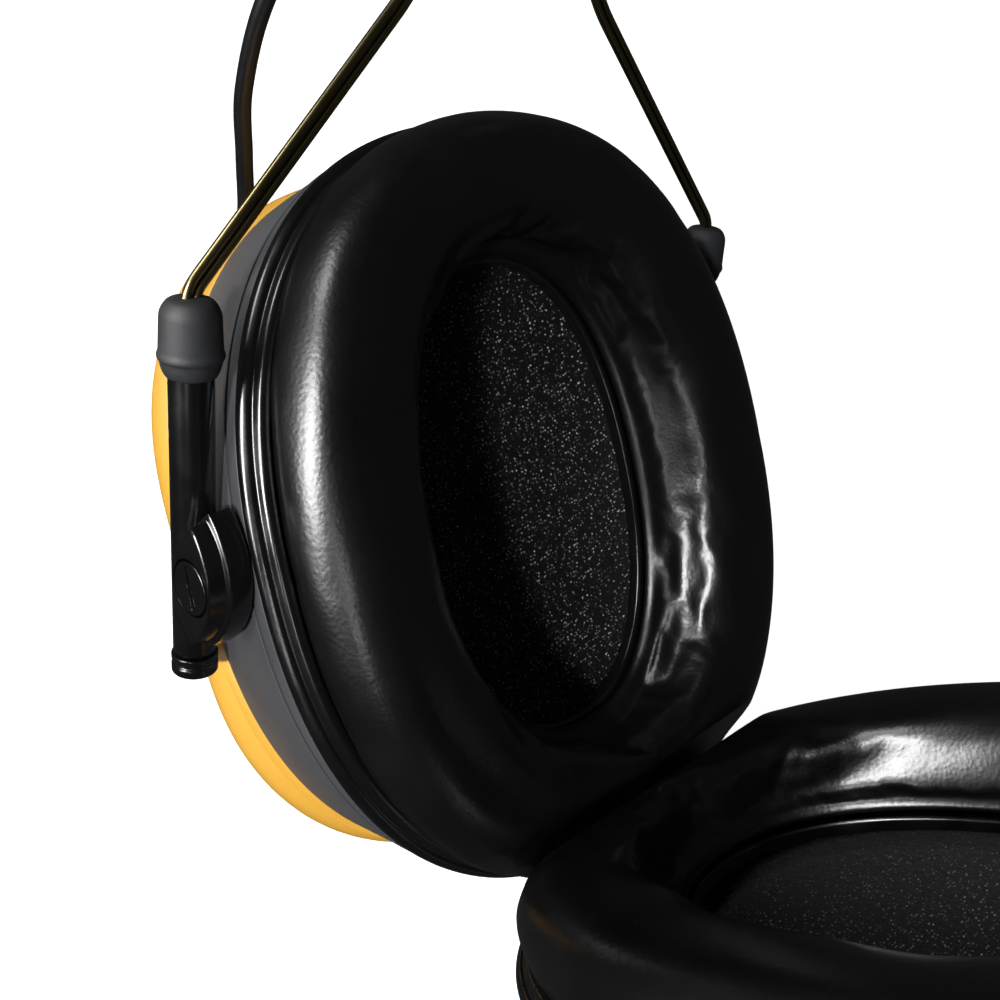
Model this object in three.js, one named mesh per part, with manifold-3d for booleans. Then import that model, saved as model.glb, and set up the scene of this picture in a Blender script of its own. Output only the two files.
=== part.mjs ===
// Over-the-head hearing protection earmuffs with a twin-wire headband.
// Millimetres. +Z is up, X runs from ear to ear, Y from front (-) to back (+). The earmuffs stand on
// a table on the lower sides of both cups, cushions touching along their lower edges.
//
// Each cup is drawn in a frame of its own: u across the cup, v up along the cup, n out of the cushion
// towards the ear, with n = 0 at the lip of the ear opening. The right cup is the left one turned
// half a turn about Z, so every cup piece is drawn once.

import * as THREE from 'three';
import { mergeVertices } from 'three/addons/utils/BufferGeometryUtils.js';
import Module from 'manifold-3d';

const wasm = await Module();
wasm.setup();

// ---------------------------------------------------------------- driving dimensions
const GAP = 0.3;                     // clearance between pieces that touch
const FACE_TILT = THREE.MathUtils.degToRad(43.7);   // ear opening's normal above the horizontal
const MIDDLE_CLEARANCE = 1.7;        // clip ring's lowest edge from the middle plane
const OVAL_POWER = 2.27;             // superellipse exponent of every oval
const SIDES = 32;                    // facets round an oval

const BODY_HALF_WIDTH = 47.8;        // grey cup body at its front edge
const BODY_HALF_HEIGHT = 53.5;
const BODY_FRONT = 0.6;              // n of the body's front edge
const BODY_DEPTH = 17.5;             // body ring, front edge to back edge
const BODY_DRAFT = 2.5;              // how much narrower the body is at its back edge
const BODY_DRAFT_HEIGHT = 1.9;       // how much shorter it is there
const BODY_WALL = 2.6;

const DOME_DEPTH = 19.0;             // yellow shell behind the body
const DOME_POWER = 3.0;              // higher is squarer
const DOME_WALL = 2.4;
const REST_CUT = 0.8;                // depth of the flat that each dome stands on

const RIM_THICK = 2.1;               // clip ring that holds the cushion to the cup
const BEAD_HEIGHT = 1.4;             // rounded bead that stands up round the cushion
const RIM_OVERLAP = 0.3;             // clip ring stands this far proud of the body
const OPENING_HALF_WIDTH = 21.9;     // ear opening in the cushion plate
const OPENING_HALF_HEIGHT = 34.0;
const PLATE_THICK = 1.2;

const CUSHION_INSET_ACROSS = 3.1;    // cushion's edge inside the body's
const CUSHION_INSET_ALONG = 0.3;
const CUSHION_BULGE = 8.5;           // radius of the cushion's outer edge
const CUSHION_FRONT = 15.0;          // n of the cushion's crown

const TUBE_BESIDE = 2.0;             // slider tube's axis outside the body's widest point
const TUBE_BEHIND = 11.4;            // tube's axis behind the opening's lip, at v = 0
const TUBE_LEAN = THREE.MathUtils.degToRad(25);     // tube against the cup's v axis
const TUBE_RADIUS = 2.7;
const TUBE_BORE = 1.75;
const TUBE_TOP = 35.0;               // along the tube from v = 0
const TUBE_BOTTOM = -8.2;
const CAP_RADIUS = 3.75;
const CAP_TOP = 38.1;
const CAP_LENGTH = 10.4;
const STOP_RADIUS = 3.0;             // end stop at the foot of the tube
const STOP_LENGTH = 3.2;

const PIVOT_ALONG = 4.5;             // pivot pin from the tube's v = 0 point, along the tube
const PIVOT_ACROSS = 5.6;            // and across it, towards the ear
const PIN_RADIUS = 1.3;
const PIN_HEAD_RADIUS = 3.4;
const PIN_HEAD = 1.0;
const CLIP_HALF_LENGTH = 9.2;        // lens-shaped clip that runs on the tube
const CLIP_HALF_WIDTH = 4.7;
const CLIP_FACE_PROUD = 1.3;         // clip's outer face beyond the tube
const CLIP_BODY_CLEARANCE = 0.2;     // clip's inner face from the body's widest point

const WIRE_RADIUS = 0.58;            // spring wire, four strands over the head
const STRAND_SPACING = 1.3;
const ARCH_RADIUS = 81;              // wires over the head
const ARCH_RISE = 100.2;             // centre of the arch above the ear openings' centres
const ARCH_HALF_SPREAD = 13;         // front and rear pairs from the middle
const ARCH_END = THREE.MathUtils.degToRad(104);     // arch's end from the top
const PAD_END = THREE.MathUtils.degToRad(88);       // pad's end from the top
const PAD_HALF_WIDTH = 17;
const COVER_THICK = 2.2;
const PAD_THICK = 6.5;

const CABLE_RADIUS = 1.35;
const FOAM_TUCK = 7;                 // foam liner's edge behind the cushion plate
const FOAM_DISH = 6.8;               // depth of its hollow
const FOAM_THICK = 3.4;
const BAFFLE_FRONT = -13;            // n of the speaker baffle's face
const BAFFLE_THICK = 1.4;
const SPEAKER_RADIUS = 18;
const SPEAKER_DEPTH = 5.5;
const BATTERY_RADIUS = 5.25;
const BATTERY_LENGTH = 44.5;
const KNOB_RADIUS = 8.5;
const KNOB_HEIGHT = 5.0;
const SHAFT_RADIUS = 2.5;
const BOARD_THICK = 1.6;
const POT_RADIUS = 6;
const POT_DEPTH = 3;
const DOOR_THICK = 1.6;
const DOOR_LAND_ACROSS = 1.4;        // door's overlap past the battery bay
const DOOR_LAND_ALONG = 0.45;
const POD_BORDER = 3;                // pod's edge outside the door
const POD_PROUD = 2.4;               // pod's face beyond the dome

// ---------------------------------------------------------------- worked-out places
const SIN = Math.sin(FACE_TILT);
const COS = Math.cos(FACE_TILT);
const CUP_CENTRE_X = MIDDLE_CLEARANCE + (BODY_HALF_HEIGHT + RIM_OVERLAP) * SIN;   // opening's centre
const CUSHION_HALF_WIDTH = BODY_HALF_WIDTH - CUSHION_INSET_ACROSS;
const CUSHION_HALF_HEIGHT = BODY_HALF_HEIGHT - CUSHION_INSET_ALONG;
const TUBE_OFFSET = BODY_HALF_WIDTH + TUBE_BESIDE;   // tube's axis from the cup's middle, across
const CLIP_FACE = TUBE_OFFSET + TUBE_RADIUS + CLIP_FACE_PROUD;
const CLIP_BACK = BODY_HALF_WIDTH + CLIP_BODY_CLEARANCE;
const BODY_BACK = BODY_FRONT - BODY_DEPTH;
const DOME_HALF_WIDTH = BODY_HALF_WIDTH - BODY_DRAFT;
const DOME_HALF_HEIGHT = BODY_HALF_HEIGHT - BODY_DRAFT_HEIGHT;
const DOME_RIM = BODY_BACK - GAP;
const domeN = (rho) => DOME_RIM - DOME_DEPTH * Math.sqrt(1 - rho ** DOME_POWER);

// Height of the opening's centre that puts the rest flats on the table.
let reach = 0;
for (let rho = 0; rho <= 1; rho += 0.002) {
  reach = Math.max(reach, rho * DOME_HALF_HEIGHT * COS - domeN(rho) * SIN);
}
const CUP_CENTRE_Z = reach - REST_CUT;
const ARCH_HEIGHT = CUP_CENTRE_Z + ARCH_RISE;

// ---------------------------------------------------------------- materials
function finish(color, roughness, metalness = 0) {
  return new THREE.MeshStandardMaterial({ color, roughness, metalness });
}
const YELLOW = finish('#eab53c', 0.42);
const CHARCOAL = finish('#4a4a4d', 0.62);
const GLOSS_BLACK = finish('#131315', 0.25);
const VINYL = finish('#0c0c0e', 0.35);
const FOAM = finish('#17171a', 0.95);
const RUBBER = finish('#2e2f33', 0.8);
const WIRE = finish('#8d8464', 0.3, 1);
const STEEL = finish('#b9bcc0', 0.3, 1);
const BOARD = finish('#1f6b3a', 0.5);
const SLEEVE = finish('#3f5f8a', 0.4);

// ---------------------------------------------------------------- solids
const group = new THREE.Group();

function toSolid(geometry) {
  const bare = geometry.clone();
  for (const name of Object.keys(bare.attributes)) if (name !== 'position') bare.deleteAttribute(name);
  const merged = mergeVertices(bare, 1e-4);
  const vertProperties = new Float32Array(merged.attributes.position.array);
  const corners = [];
  const index = merged.index.array;
  for (let i = 0; i < index.length; i += 3) {
    const [a, b, c] = [index[i], index[i + 1], index[i + 2]];
    if (a !== b && b !== c && c !== a) corners.push(a, b, c);
  }
  if (signedVolume(vertProperties, corners) < 0) {
    for (let i = 0; i < corners.length; i += 3) {
      [corners[i], corners[i + 1]] = [corners[i + 1], corners[i]];
    }
  }
  return new wasm.Manifold(new wasm.Mesh({ numProp: 3, vertProperties, triVerts: new Uint32Array(corners) }));
}

function signedVolume(points, corners) {
  const at = (i) => new THREE.Vector3().fromArray(points, 3 * i);
  let sum = 0;
  for (let i = 0; i < corners.length; i += 3) {
    sum += at(corners[i]).dot(at(corners[i + 1]).cross(at(corners[i + 2])));
  }
  return sum / 6;
}

function toGeometry(solid) {
  const mesh = solid.getMesh();
  const geometry = new THREE.BufferGeometry();
  geometry.setAttribute('position', new THREE.BufferAttribute(new Float32Array(mesh.vertProperties), 3));
  geometry.setIndex(new THREE.BufferAttribute(new Uint32Array(mesh.triVerts), 1));
  geometry.computeVertexNormals();
  return geometry;
}

function node(parent, name, shape, material) {
  const geometry = shape.isBufferGeometry ? toGeometry(toSolid(shape)) : toGeometry(shape);
  const mesh = new THREE.Mesh(geometry, material);
  mesh.name = name;
  parent.add(mesh);
}

// An oval lathe: the profile is a list of [half width, half height, n], each point carried round a
// superellipse of those half axes. A ring's profile comes back to its first point.
function ovalLathe(profile) {
  const geometry = new THREE.LatheGeometry(profile.map(([, b, n]) => new THREE.Vector2(b, n)), SIDES);
  const position = geometry.attributes.position;
  for (let i = 0; i <= SIDES; i++) {
    const angle = (2 * Math.PI * (i % SIDES)) / SIDES;
    const [c, s] = [Math.cos(angle), Math.sin(angle)];
    profile.forEach(([a, b, n], j) => {
      const sum = Math.abs(c / a) ** OVAL_POWER + Math.abs(s / b) ** OVAL_POWER;
      const r = a === 0 ? 0 : sum ** (-1 / OVAL_POWER);
      position.setXYZ(i * profile.length + j, r * c, r * s, n);
    });
  }
  return geometry;
}

const ring = (profile) => ovalLathe([...profile, profile[0]]);

// A round piece turned about the local Z axis: the profile is a list of [radius, z].
function turned(profile, sides = 20) {
  const geometry = new THREE.LatheGeometry(profile.map(([r, z]) => new THREE.Vector2(r, z)), sides);
  return geometry.rotateX(Math.PI / 2);
}

const disc = (radius, low, high, sides = 20) =>
  turned([[0, low], [radius, low], [radius, high], [0, high]], sides);

const sleeve = (outer, inner, low, high, sides = 20) =>
  turned([[inner, low], [outer, low], [outer, high], [inner, high], [inner, low]], sides);

const box = (x0, x1, y0, y1, z0, z1) =>
  new THREE.BoxGeometry(x1 - x0, y1 - y0, z1 - z0).translate((x0 + x1) / 2, (y0 + y1) / 2, (z0 + z1) / 2);

function roundedPlate(width, height, corner, low, high) {
  const [w, h, r] = [width / 2, height / 2, corner];
  const shape = new THREE.Shape();
  shape.absarc(w - r, h - r, r, 0, Math.PI / 2);
  shape.absarc(-w + r, h - r, r, Math.PI / 2, Math.PI);
  shape.absarc(-w + r, -h + r, r, Math.PI, 1.5 * Math.PI);
  shape.absarc(w - r, -h + r, r, 1.5 * Math.PI, 2 * Math.PI);
  const options = { depth: high - low, bevelEnabled: false, curveSegments: 4 };
  return new THREE.ExtrudeGeometry(shape, options).translate(0, 0, low);
}

// A path through given stations, with one step of the sweep for each station.
class Route extends THREE.Curve {
  constructor(stations) {
    super();
    this.stations = stations;
  }
  getUtoTmapping(u) {
    return u;
  }
  getPoint(t, target = new THREE.Vector3()) {
    const place = t * (this.stations.length - 1);
    const i = Math.min(Math.floor(place), this.stations.length - 2);
    return target.lerpVectors(this.stations[i], this.stations[i + 1], place - i);
  }
}

function sweep(stations, radius, sides) {
  const shape = new THREE.Shape();
  for (let i = 0; i < sides; i++) {
    const angle = (2 * Math.PI * i) / sides;
    const [x, y] = [radius * Math.cos(angle), radius * Math.sin(angle)];
    if (i === 0) shape.moveTo(x, y);
    else shape.lineTo(x, y);
  }
  const options = { steps: stations.length - 1, extrudePath: new Route(stations), bevelEnabled: false };
  return new THREE.ExtrudeGeometry(shape, options);
}

// ---------------------------------------------------------------- cup pieces, in the cup's frame
const bodyAt = (n) => {
  const share = (BODY_FRONT - n) / BODY_DEPTH;
  return [BODY_HALF_WIDTH - share * BODY_DRAFT, BODY_HALF_HEIGHT - share * BODY_DRAFT_HEIGHT];
};
const inset = ([a, b], by) => [a - by, b - by];

function cupBody() {
  const [front, back] = [bodyAt(BODY_FRONT), bodyAt(BODY_BACK)];
  const wall = ring([
    [...front, BODY_FRONT], [...back, BODY_BACK],
    [...inset(back, BODY_WALL), BODY_BACK], [...inset(front, BODY_WALL), BODY_FRONT],
  ]);
  const hole = disc(PIN_RADIUS + GAP, -CLIP_FACE, CLIP_FACE, 16).rotateX(Math.PI / 2).rotateZ(Math.PI / 2);
  return toSolid(wall).subtract(toSolid(hole.translate(0, PIVOT_V, PIVOT_N)));
}

function domeProfile(shrink, floor) {
  const steps = [1, 0.97, 0.92, 0.85, 0.74, 0.55, 0.3, 0];
  return steps.map((rho) => {
    const [a, b] = [DOME_HALF_WIDTH - shrink, DOME_HALF_HEIGHT - shrink].map((half) => rho * half);
    return [a, b, DOME_RIM - (DOME_DEPTH - floor) * Math.sqrt(1 - rho ** DOME_POWER)];
  });
}

function outerShell() {
  const shell = ovalLathe([...domeProfile(0, 0).reverse(), ...domeProfile(DOME_WALL, DOME_WALL)]);
  const ground = box(-60, 60, -60, 60, -40, 0).rotateX(FACE_TILT - Math.PI / 2);
  const table = new THREE.Vector3(0, -COS, -SIN).multiplyScalar(CUP_CENTRE_Z);
  return toSolid(shell).subtract(toSolid(ground.translate(...table.toArray())));
}

function clipRing() {
  const front = BODY_FRONT + GAP;
  const outer = inset([BODY_HALF_WIDTH, BODY_HALF_HEIGHT], -RIM_OVERLAP);
  const bead = front + RIM_THICK;
  return ring([
    [...outer, front], [...outer, bead - 1.2], [...inset(outer, 1.0), bead],
    [...inset(outer, 2.0), bead + BEAD_HEIGHT * 0.8], [...inset(outer, 3.0), bead + BEAD_HEIGHT * 0.8],
    [...inset(outer, 3.8), bead], [...inset(outer, 9), bead], [...inset(outer, 9), front],
  ]);
}

function cushionPlate() {
  const outer = inset([BODY_HALF_WIDTH, BODY_HALF_HEIGHT], 9 - RIM_OVERLAP + GAP);
  const lip = [OPENING_HALF_WIDTH, OPENING_HALF_HEIGHT];
  return ring([
    [...outer, -PLATE_THICK], [...outer, 0], [...inset(lip, -1.6), 0], [...inset(lip, -1.2), 0.8],
    [...lip, 0.8], [...lip, -PLATE_THICK],
  ]);
}

function earCushion() {
  const base = BODY_FRONT + GAP + RIM_THICK + GAP;
  const edge = [CUSHION_HALF_WIDTH, CUSHION_HALF_HEIGHT];
  const [mid, rise] = [CUSHION_FRONT - CUSHION_BULGE, CUSHION_BULGE];
  const inner = [OPENING_HALF_WIDTH + 2.2, OPENING_HALF_HEIGHT + 2.2];
  const solid = toSolid(ring([
    [...inset(inner, -1), base], [...inset(edge, 3.9), base], [...inset(edge, 3.0), base + 1.5],
    [...inset(edge, 0.7), base + 2.1],
    [...edge, mid], [...inset(edge, 1.0), mid + rise * 0.5], [...inset(edge, 3.6), mid + rise * 0.82],
    [...inset(edge, 8), CUSHION_FRONT], [...inset(edge, 12.5), CUSHION_FRONT - 1],
    [...inset(inner, -2.6), mid + rise * 0.55], [...inner, mid + rise * 0.05],
  ]));
  // The two cushions press flat against each other on the middle plane.
  const middle = box(0, 40, -60, 60, -60, 60).rotateZ(-Math.PI / 2).rotateX(FACE_TILT - Math.PI / 2);
  const inward = new THREE.Vector3(0, -SIN, COS).multiplyScalar(CUP_CENTRE_X - GAP / 2);
  return solid.subtract(toSolid(middle.translate(...inward.toArray())));
}

function foamLiner() {
  const [a, b] = [OPENING_HALF_WIDTH + FOAM_TUCK, OPENING_HALF_HEIGHT + FOAM_TUCK];
  const rim = -PLATE_THICK - 1;
  const dish = [[0, rim - FOAM_DISH], [0.5, rim - 0.85 * FOAM_DISH], [0.8, rim - 0.4 * FOAM_DISH], [1, rim]];
  const top = dish.map(([rho, n]) => [rho * a, rho * b, n]);
  const under = dish.map(([rho, n]) => [rho * a, rho * b, n - FOAM_THICK]).reverse();
  return ovalLathe([...top, ...under]);
}

function speakerBaffle() {
  const [edge, back] = [inset(bodyAt(BAFFLE_FRONT), BODY_WALL + GAP), BAFFLE_FRONT - BAFFLE_THICK];
  const plate = ovalLathe([[0, 0, back], [...edge, back], [...edge, BAFFLE_FRONT], [0, 0, BAFFLE_FRONT]]);
  return toSolid(plate).subtract(toSolid(disc(SPEAKER_RADIUS + GAP, back - 1, BAFFLE_FRONT + 1, 24)));
}

function speaker() {
  const back = BAFFLE_FRONT - SPEAKER_DEPTH;
  return turned([[0, back], [SPEAKER_RADIUS * 0.55, back], [SPEAKER_RADIUS, BAFFLE_FRONT - BAFFLE_THICK],
    [SPEAKER_RADIUS, BAFFLE_FRONT], [0, BAFFLE_FRONT]], 24);
}

// The cable's gland points up and out of the back of the dome, near the front of the head.
const GLAND_U = 12;
const GLAND_LENGTH = 12;
const GLAND_RADIUS = 3.4;
const GLAND_RHO = 0.69;              // its place on the dome, from the pole to the rim
const glandSeat = new THREE.Vector3(0, GLAND_RHO * DOME_HALF_HEIGHT, domeN(GLAND_RHO) + DOME_WALL);
const glandAim = new THREE.Vector3(0, 0.8, -0.6);

function along(geometry, seat, aim) {
  const turn = new THREE.Quaternion().setFromUnitVectors(new THREE.Vector3(0, 0, 1), aim);
  return geometry.applyQuaternion(turn).translate(...seat.toArray());
}

function gland() {
  const bore = CABLE_RADIUS + GAP;
  return turned([[bore, 0], [GLAND_RADIUS, 0], [GLAND_RADIUS, 0.6 * GLAND_LENGTH],
    [bore + 0.55, GLAND_LENGTH], [bore, GLAND_LENGTH], [bore, 0]], 14);
}

// ---------------------------------------------------------------- slider pieces
// Drawn in the slider's frame: x outwards across the cup, y up along the tube, z towards the ear, with
// the origin on the tube's axis at v = 0.
const PIVOT_V = PIVOT_ALONG * Math.cos(TUBE_LEAN) - PIVOT_ACROSS * Math.sin(TUBE_LEAN);
const PIVOT_N = -TUBE_BEHIND + PIVOT_ALONG * Math.sin(TUBE_LEAN) + PIVOT_ACROSS * Math.cos(TUBE_LEAN);
const upright = (geometry) => geometry.rotateX(-Math.PI / 2);

function lens(halfLength, halfWidth, low, high) {
  const radius = (halfLength ** 2 + halfWidth ** 2) / (2 * halfWidth);
  const half = Math.asin(halfLength / radius);
  const shape = new THREE.Shape();
  shape.absarc(halfWidth - radius, 0, radius, -half, half);
  shape.absarc(radius - halfWidth, 0, radius, Math.PI - half, Math.PI + half);
  const options = { depth: high - low, bevelEnabled: false, curveSegments: 8 };
  const plate = new THREE.ExtrudeGeometry(shape, options).translate(0, 0, low);
  // From the drawing plane (x across, y along) to across = z, along = y, thickness = x.
  return plate.rotateY(Math.PI / 2).scale(1, 1, -1);
}

function pivotClip() {
  const [low, high] = [CLIP_BACK - TUBE_OFFSET, CLIP_FACE - TUBE_OFFSET];
  const step = (low + high) / 2 + 0.4;
  const place = (geometry) => toSolid(geometry.translate(0, PIVOT_ALONG, PIVOT_ACROSS));
  const saddle = box(low, TUBE_RADIUS + GAP + 0.7, -4, 4, -PIVOT_ACROSS - TUBE_RADIUS - 1, 0);
  const bore = upright(disc(TUBE_RADIUS + GAP, -30, 60, 20));
  const pin = disc(PIN_RADIUS + GAP, low - 1, high + 1, 16).rotateY(Math.PI / 2);
  const seat = disc(PIN_HEAD_RADIUS + GAP, high - PIN_HEAD, high + 1, 24).rotateY(Math.PI / 2);
  return place(lens(CLIP_HALF_LENGTH, CLIP_HALF_WIDTH, low, step))
    .add(place(lens(CLIP_HALF_LENGTH * 0.93, CLIP_HALF_WIDTH * 0.9, step - 0.1, high)))
    .add(place(saddle))
    .subtract(toSolid(bore)).subtract(place(pin)).subtract(place(seat));
}

function pivotPin() {
  const [head, foot] = [CLIP_FACE - TUBE_OFFSET, BODY_HALF_WIDTH - BODY_WALL - 1 - TUBE_OFFSET];
  const top = head + 0.1;
  const floor = head - PIN_HEAD + GAP;
  const pin = turned([[0, foot], [PIN_RADIUS, foot], [PIN_RADIUS, floor], [PIN_HEAD_RADIUS, floor],
    [PIN_HEAD_RADIUS, top], [0, top]], 20).rotateY(Math.PI / 2);
  const slot = box(top - 0.4, top + 1, -PIN_HEAD_RADIUS, PIN_HEAD_RADIUS, -0.45, 0.45);
  return toGeometry(toSolid(pin).subtract(toSolid(slot))).translate(0, PIVOT_ALONG, PIVOT_ACROSS);
}

const sliderTube = () => upright(sleeve(TUBE_RADIUS, TUBE_BORE, TUBE_BOTTOM, TUBE_TOP, 16));

function rubberCap() {
  const [foot, bore] = [CAP_TOP - CAP_LENGTH, TUBE_RADIUS + GAP];
  const hole = STRAND_SPACING / 2 + WIRE_RADIUS + GAP;
  return upright(turned([
    [bore, foot], [bore + 0.3, foot], [CAP_RADIUS, foot + 1.4], [CAP_RADIUS, CAP_TOP - 1],
    [CAP_RADIUS - 0.9, CAP_TOP], [hole, CAP_TOP], [hole, TUBE_TOP + GAP], [bore, TUBE_TOP + GAP],
    [bore, foot]], 18));
}

function endStop() {
  const top = TUBE_BOTTOM - GAP;
  return upright(turned([[0, top - STOP_LENGTH], [STOP_RADIUS * 0.6, top - STOP_LENGTH],
    [STOP_RADIUS, top - STOP_LENGTH + 1.3], [STOP_RADIUS, top], [TUBE_BORE - GAP, top],
    [TUBE_BORE - GAP, top + 6], [0, top + 6]], 16));
}

// ---------------------------------------------------------------- placing the cups
const cupAxes = (side) => new THREE.Matrix4().makeBasis(
  new THREE.Vector3(0, -side, 0),
  new THREE.Vector3(side * SIN, 0, COS),
  new THREE.Vector3(-side * COS, 0, SIN),
);

function cupGroup(side) {
  const cup = new THREE.Group();
  cup.quaternion.setFromRotationMatrix(cupAxes(side));
  cup.position.set(side * CUP_CENTRE_X, 0, CUP_CENTRE_Z);
  cup.updateMatrixWorld();
  group.add(cup);
  return cup;
}

// The right cup holds the electronics: battery pod with its door, volume knob and circuit board.
const BAY = { width: 4 * BATTERY_RADIUS + 4 * GAP, height: BATTERY_LENGTH + 2 * GAP };
const DOOR = { width: BAY.width + 2 * DOOR_LAND_ACROSS, height: BAY.height + 2 * DOOR_LAND_ALONG };
const POD = {
  u: -7.5,
  v: 6.5,
  width: DOOR.width + 2 * POD_BORDER,
  height: DOOR.height + 2 * POD_BORDER,
  face: DOME_RIM - DOME_DEPTH - POD_PROUD,
};
const KNOB = { u: 23, v: 20, seat: DOME_RIM - DOME_DEPTH - 0.6 };
const BOARD_FRONT = BAFFLE_FRONT - SPEAKER_DEPTH - 1;
const BOARD_BACK = BOARD_FRONT - BOARD_THICK;
const POT_BACK = BOARD_BACK - GAP - POT_DEPTH;

function rightShell() {
  const pod = roundedPlate(POD.width, POD.height, 5, POD.face, DOME_RIM - DOME_DEPTH * 0.8);
  const opening = roundedPlate(BAY.width, BAY.height, 0.5, POD.face - 1, DOME_RIM - 2);
  const recess = roundedPlate(DOOR.width + 2 * GAP, DOOR.height + 2 * GAP, 0.5,
    POD.face - 1, POD.face + DOOR_THICK + GAP);
  const at = (geometry, place) => toSolid(geometry.translate(place.u, place.v, 0));
  const land = disc(KNOB_RADIUS + 1.5, KNOB.seat, DOME_RIM - DOME_DEPTH * 0.75, 24);
  const hole = disc(SHAFT_RADIUS + GAP, KNOB.seat - 1, 0, 16);
  return outerShell().add(at(pod, POD)).add(at(land, KNOB))
    .subtract(at(opening, POD)).subtract(at(recess, POD)).subtract(at(hole, KNOB));
}

function batteryDoor() {
  const [half, knuckle] = [DOOR.width / 2, DOOR_THICK / 2];
  const barrel = disc(knuckle, -half, half, 12).rotateY(Math.PI / 2);
  const plate = box(-half, half, knuckle - DOOR.height, 0, -knuckle, knuckle);
  const hinge = POD.v + DOOR.height / 2 - knuckle;
  return toGeometry(toSolid(plate).add(toSolid(barrel))).translate(POD.u, hinge, POD.face + knuckle);
}

function volumeKnob() {
  const [low, high] = [KNOB.seat - GAP - KNOB_HEIGHT, KNOB.seat - GAP];
  const foot = POT_BACK - GAP;
  const knob = turned([[0, low], [KNOB_RADIUS - 1, low], [KNOB_RADIUS, low + 1], [KNOB_RADIUS, high],
    [SHAFT_RADIUS, high], [SHAFT_RADIUS, foot], [0, foot]], 24);
  const groove = box(-0.6, 0.6, 2, KNOB_RADIUS + 1, low - 1, low + 0.6);
  return toGeometry(toSolid(knob).subtract(toSolid(groove))).translate(KNOB.u, KNOB.v, 0);
}

function electronics(cup) {
  node(cup, 'circuit_board', box(-26, 30, -24, 32, BOARD_BACK, BOARD_FRONT), BOARD);
  const pot = disc(POT_RADIUS, POT_BACK, POT_BACK + POT_DEPTH, 16).translate(KNOB.u, KNOB.v, 0);
  node(cup, 'volume_potentiometer', pot, STEEL);
  const centre = BOARD_BACK - GAP - BATTERY_RADIUS;
  [-1, 1].forEach((hand, i) => {
    const place = [POD.u + hand * (BATTERY_RADIUS + GAP), POD.v, centre];
    const cell = disc(BATTERY_RADIUS, -BATTERY_LENGTH / 2, BATTERY_LENGTH / 2, 14).rotateX(Math.PI / 2);
    node(cup, `battery_${i + 1}`, cell.translate(...place), SLEEVE);
  });
  node(cup, 'battery_door', batteryDoor(), YELLOW);
  node(cup, 'volume_knob', volumeKnob(), CHARCOAL);
}

function buildCup(side) {
  const name = side < 0 ? 'left' : 'right';
  const cup = cupGroup(side);
  // The gland sits towards the front of the head on both cups.
  const seat = glandSeat.clone().setX(side * GLAND_U);
  const passage = along(disc(GLAND_RADIUS + GAP, -6, 30, 14), seat, glandAim);
  const shell = side < 0 ? outerShell() : rightShell();
  node(cup, `${name}_outer_shell`, shell.subtract(toSolid(passage)), YELLOW);
  node(cup, `${name}_cup_body`, cupBody(), CHARCOAL);
  node(cup, `${name}_clip_ring`, clipRing(), GLOSS_BLACK);
  node(cup, `${name}_cushion_plate`, cushionPlate(), GLOSS_BLACK);
  node(cup, `${name}_ear_cushion`, earCushion(), VINYL);
  node(cup, `${name}_foam_liner`, foamLiner(), FOAM);
  node(cup, `${name}_speaker_baffle`, speakerBaffle(), GLOSS_BLACK);
  node(cup, `${name}_speaker`, speaker(), STEEL);
  node(cup, `${name}_cable_gland`, along(gland(), seat, glandAim), RUBBER);
  if (side > 0) electronics(cup);

  for (const end of ['front', 'rear']) {
    // The left cup's u axis points to the back, the right cup's to the front.
    const hand = (end === 'rear') === (side < 0) ? 1 : -1;
    const slider = new THREE.Group();
    slider.position.set(hand * TUBE_OFFSET, 0, -TUBE_BEHIND);
    slider.rotation.x = TUBE_LEAN;
    cup.add(slider);
    const handed = (geometry) => geometry.scale(hand, 1, 1);
    node(slider, `${name}_${end}_tube`, handed(sliderTube()), GLOSS_BLACK);
    node(slider, `${name}_${end}_cap`, handed(rubberCap()), RUBBER);
    node(slider, `${name}_${end}_end_stop`, handed(endStop()), GLOSS_BLACK);
    node(slider, `${name}_${end}_pivot_clip`, handed(toGeometry(pivotClip())), GLOSS_BLACK);
    node(slider, `${name}_${end}_pivot_pin`, handed(pivotPin()), GLOSS_BLACK);
  }
}

buildCup(-1);
buildCup(1);

// ---------------------------------------------------------------- headband
// Half of a wire pair's route, from inside the tube to the top of the arch, for the left front pair.
const inWorld = (u, v, n) => new THREE.Vector3(
  -CUP_CENTRE_X - v * SIN + n * COS, u, CUP_CENTRE_Z + v * COS + n * SIN);
const onTube = (along) => inWorld(
  -TUBE_OFFSET, along * Math.cos(TUBE_LEAN), -TUBE_BEHIND + along * Math.sin(TUBE_LEAN));
const onArch = (angle, radius = ARCH_RADIUS, y = -ARCH_HALF_SPREAD) =>
  new THREE.Vector3(-radius * Math.sin(angle), y, ARCH_HEIGHT + radius * Math.cos(angle));

// Round a corner with a short arc-like curve that starts and ends a given length from it.
function corner(before, at, after, reachBack, steps) {
  const a = at.clone().add(before.clone().sub(at).setLength(reachBack));
  const b = at.clone().add(after.clone().sub(at).setLength(reachBack));
  return new THREE.QuadraticBezierCurve3(a, at, b).getPoints(steps);
}

function pairRoute() {
  const inside = onTube(TUBE_TOP - 14);
  const exit = onTube(CAP_TOP + 0.6);
  const end = onArch(ARCH_END);
  const tangent = onArch(ARCH_END).sub(onArch(ARCH_END - 0.01)).normalize();
  const flare = end.clone().addScaledVector(tangent, 18);
  const arch = [];
  for (let i = 0; i <= 12; i++) arch.push(onArch(ARCH_END * (1 - i / 12)));
  return [inside, ...corner(inside, exit, flare, 1.8, 4), ...corner(exit, flare, end, 10, 6), ...arch];
}

// The whole pair, left cap to right cap, and one of its two strands to either side of it.
const half = pairRoute();
const acrossMiddle = (p) => new THREE.Vector3(-p.x, p.y, p.z);
const pairMiddle = [...half, ...half.slice(0, -1).reverse().map(acrossMiddle)];

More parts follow.
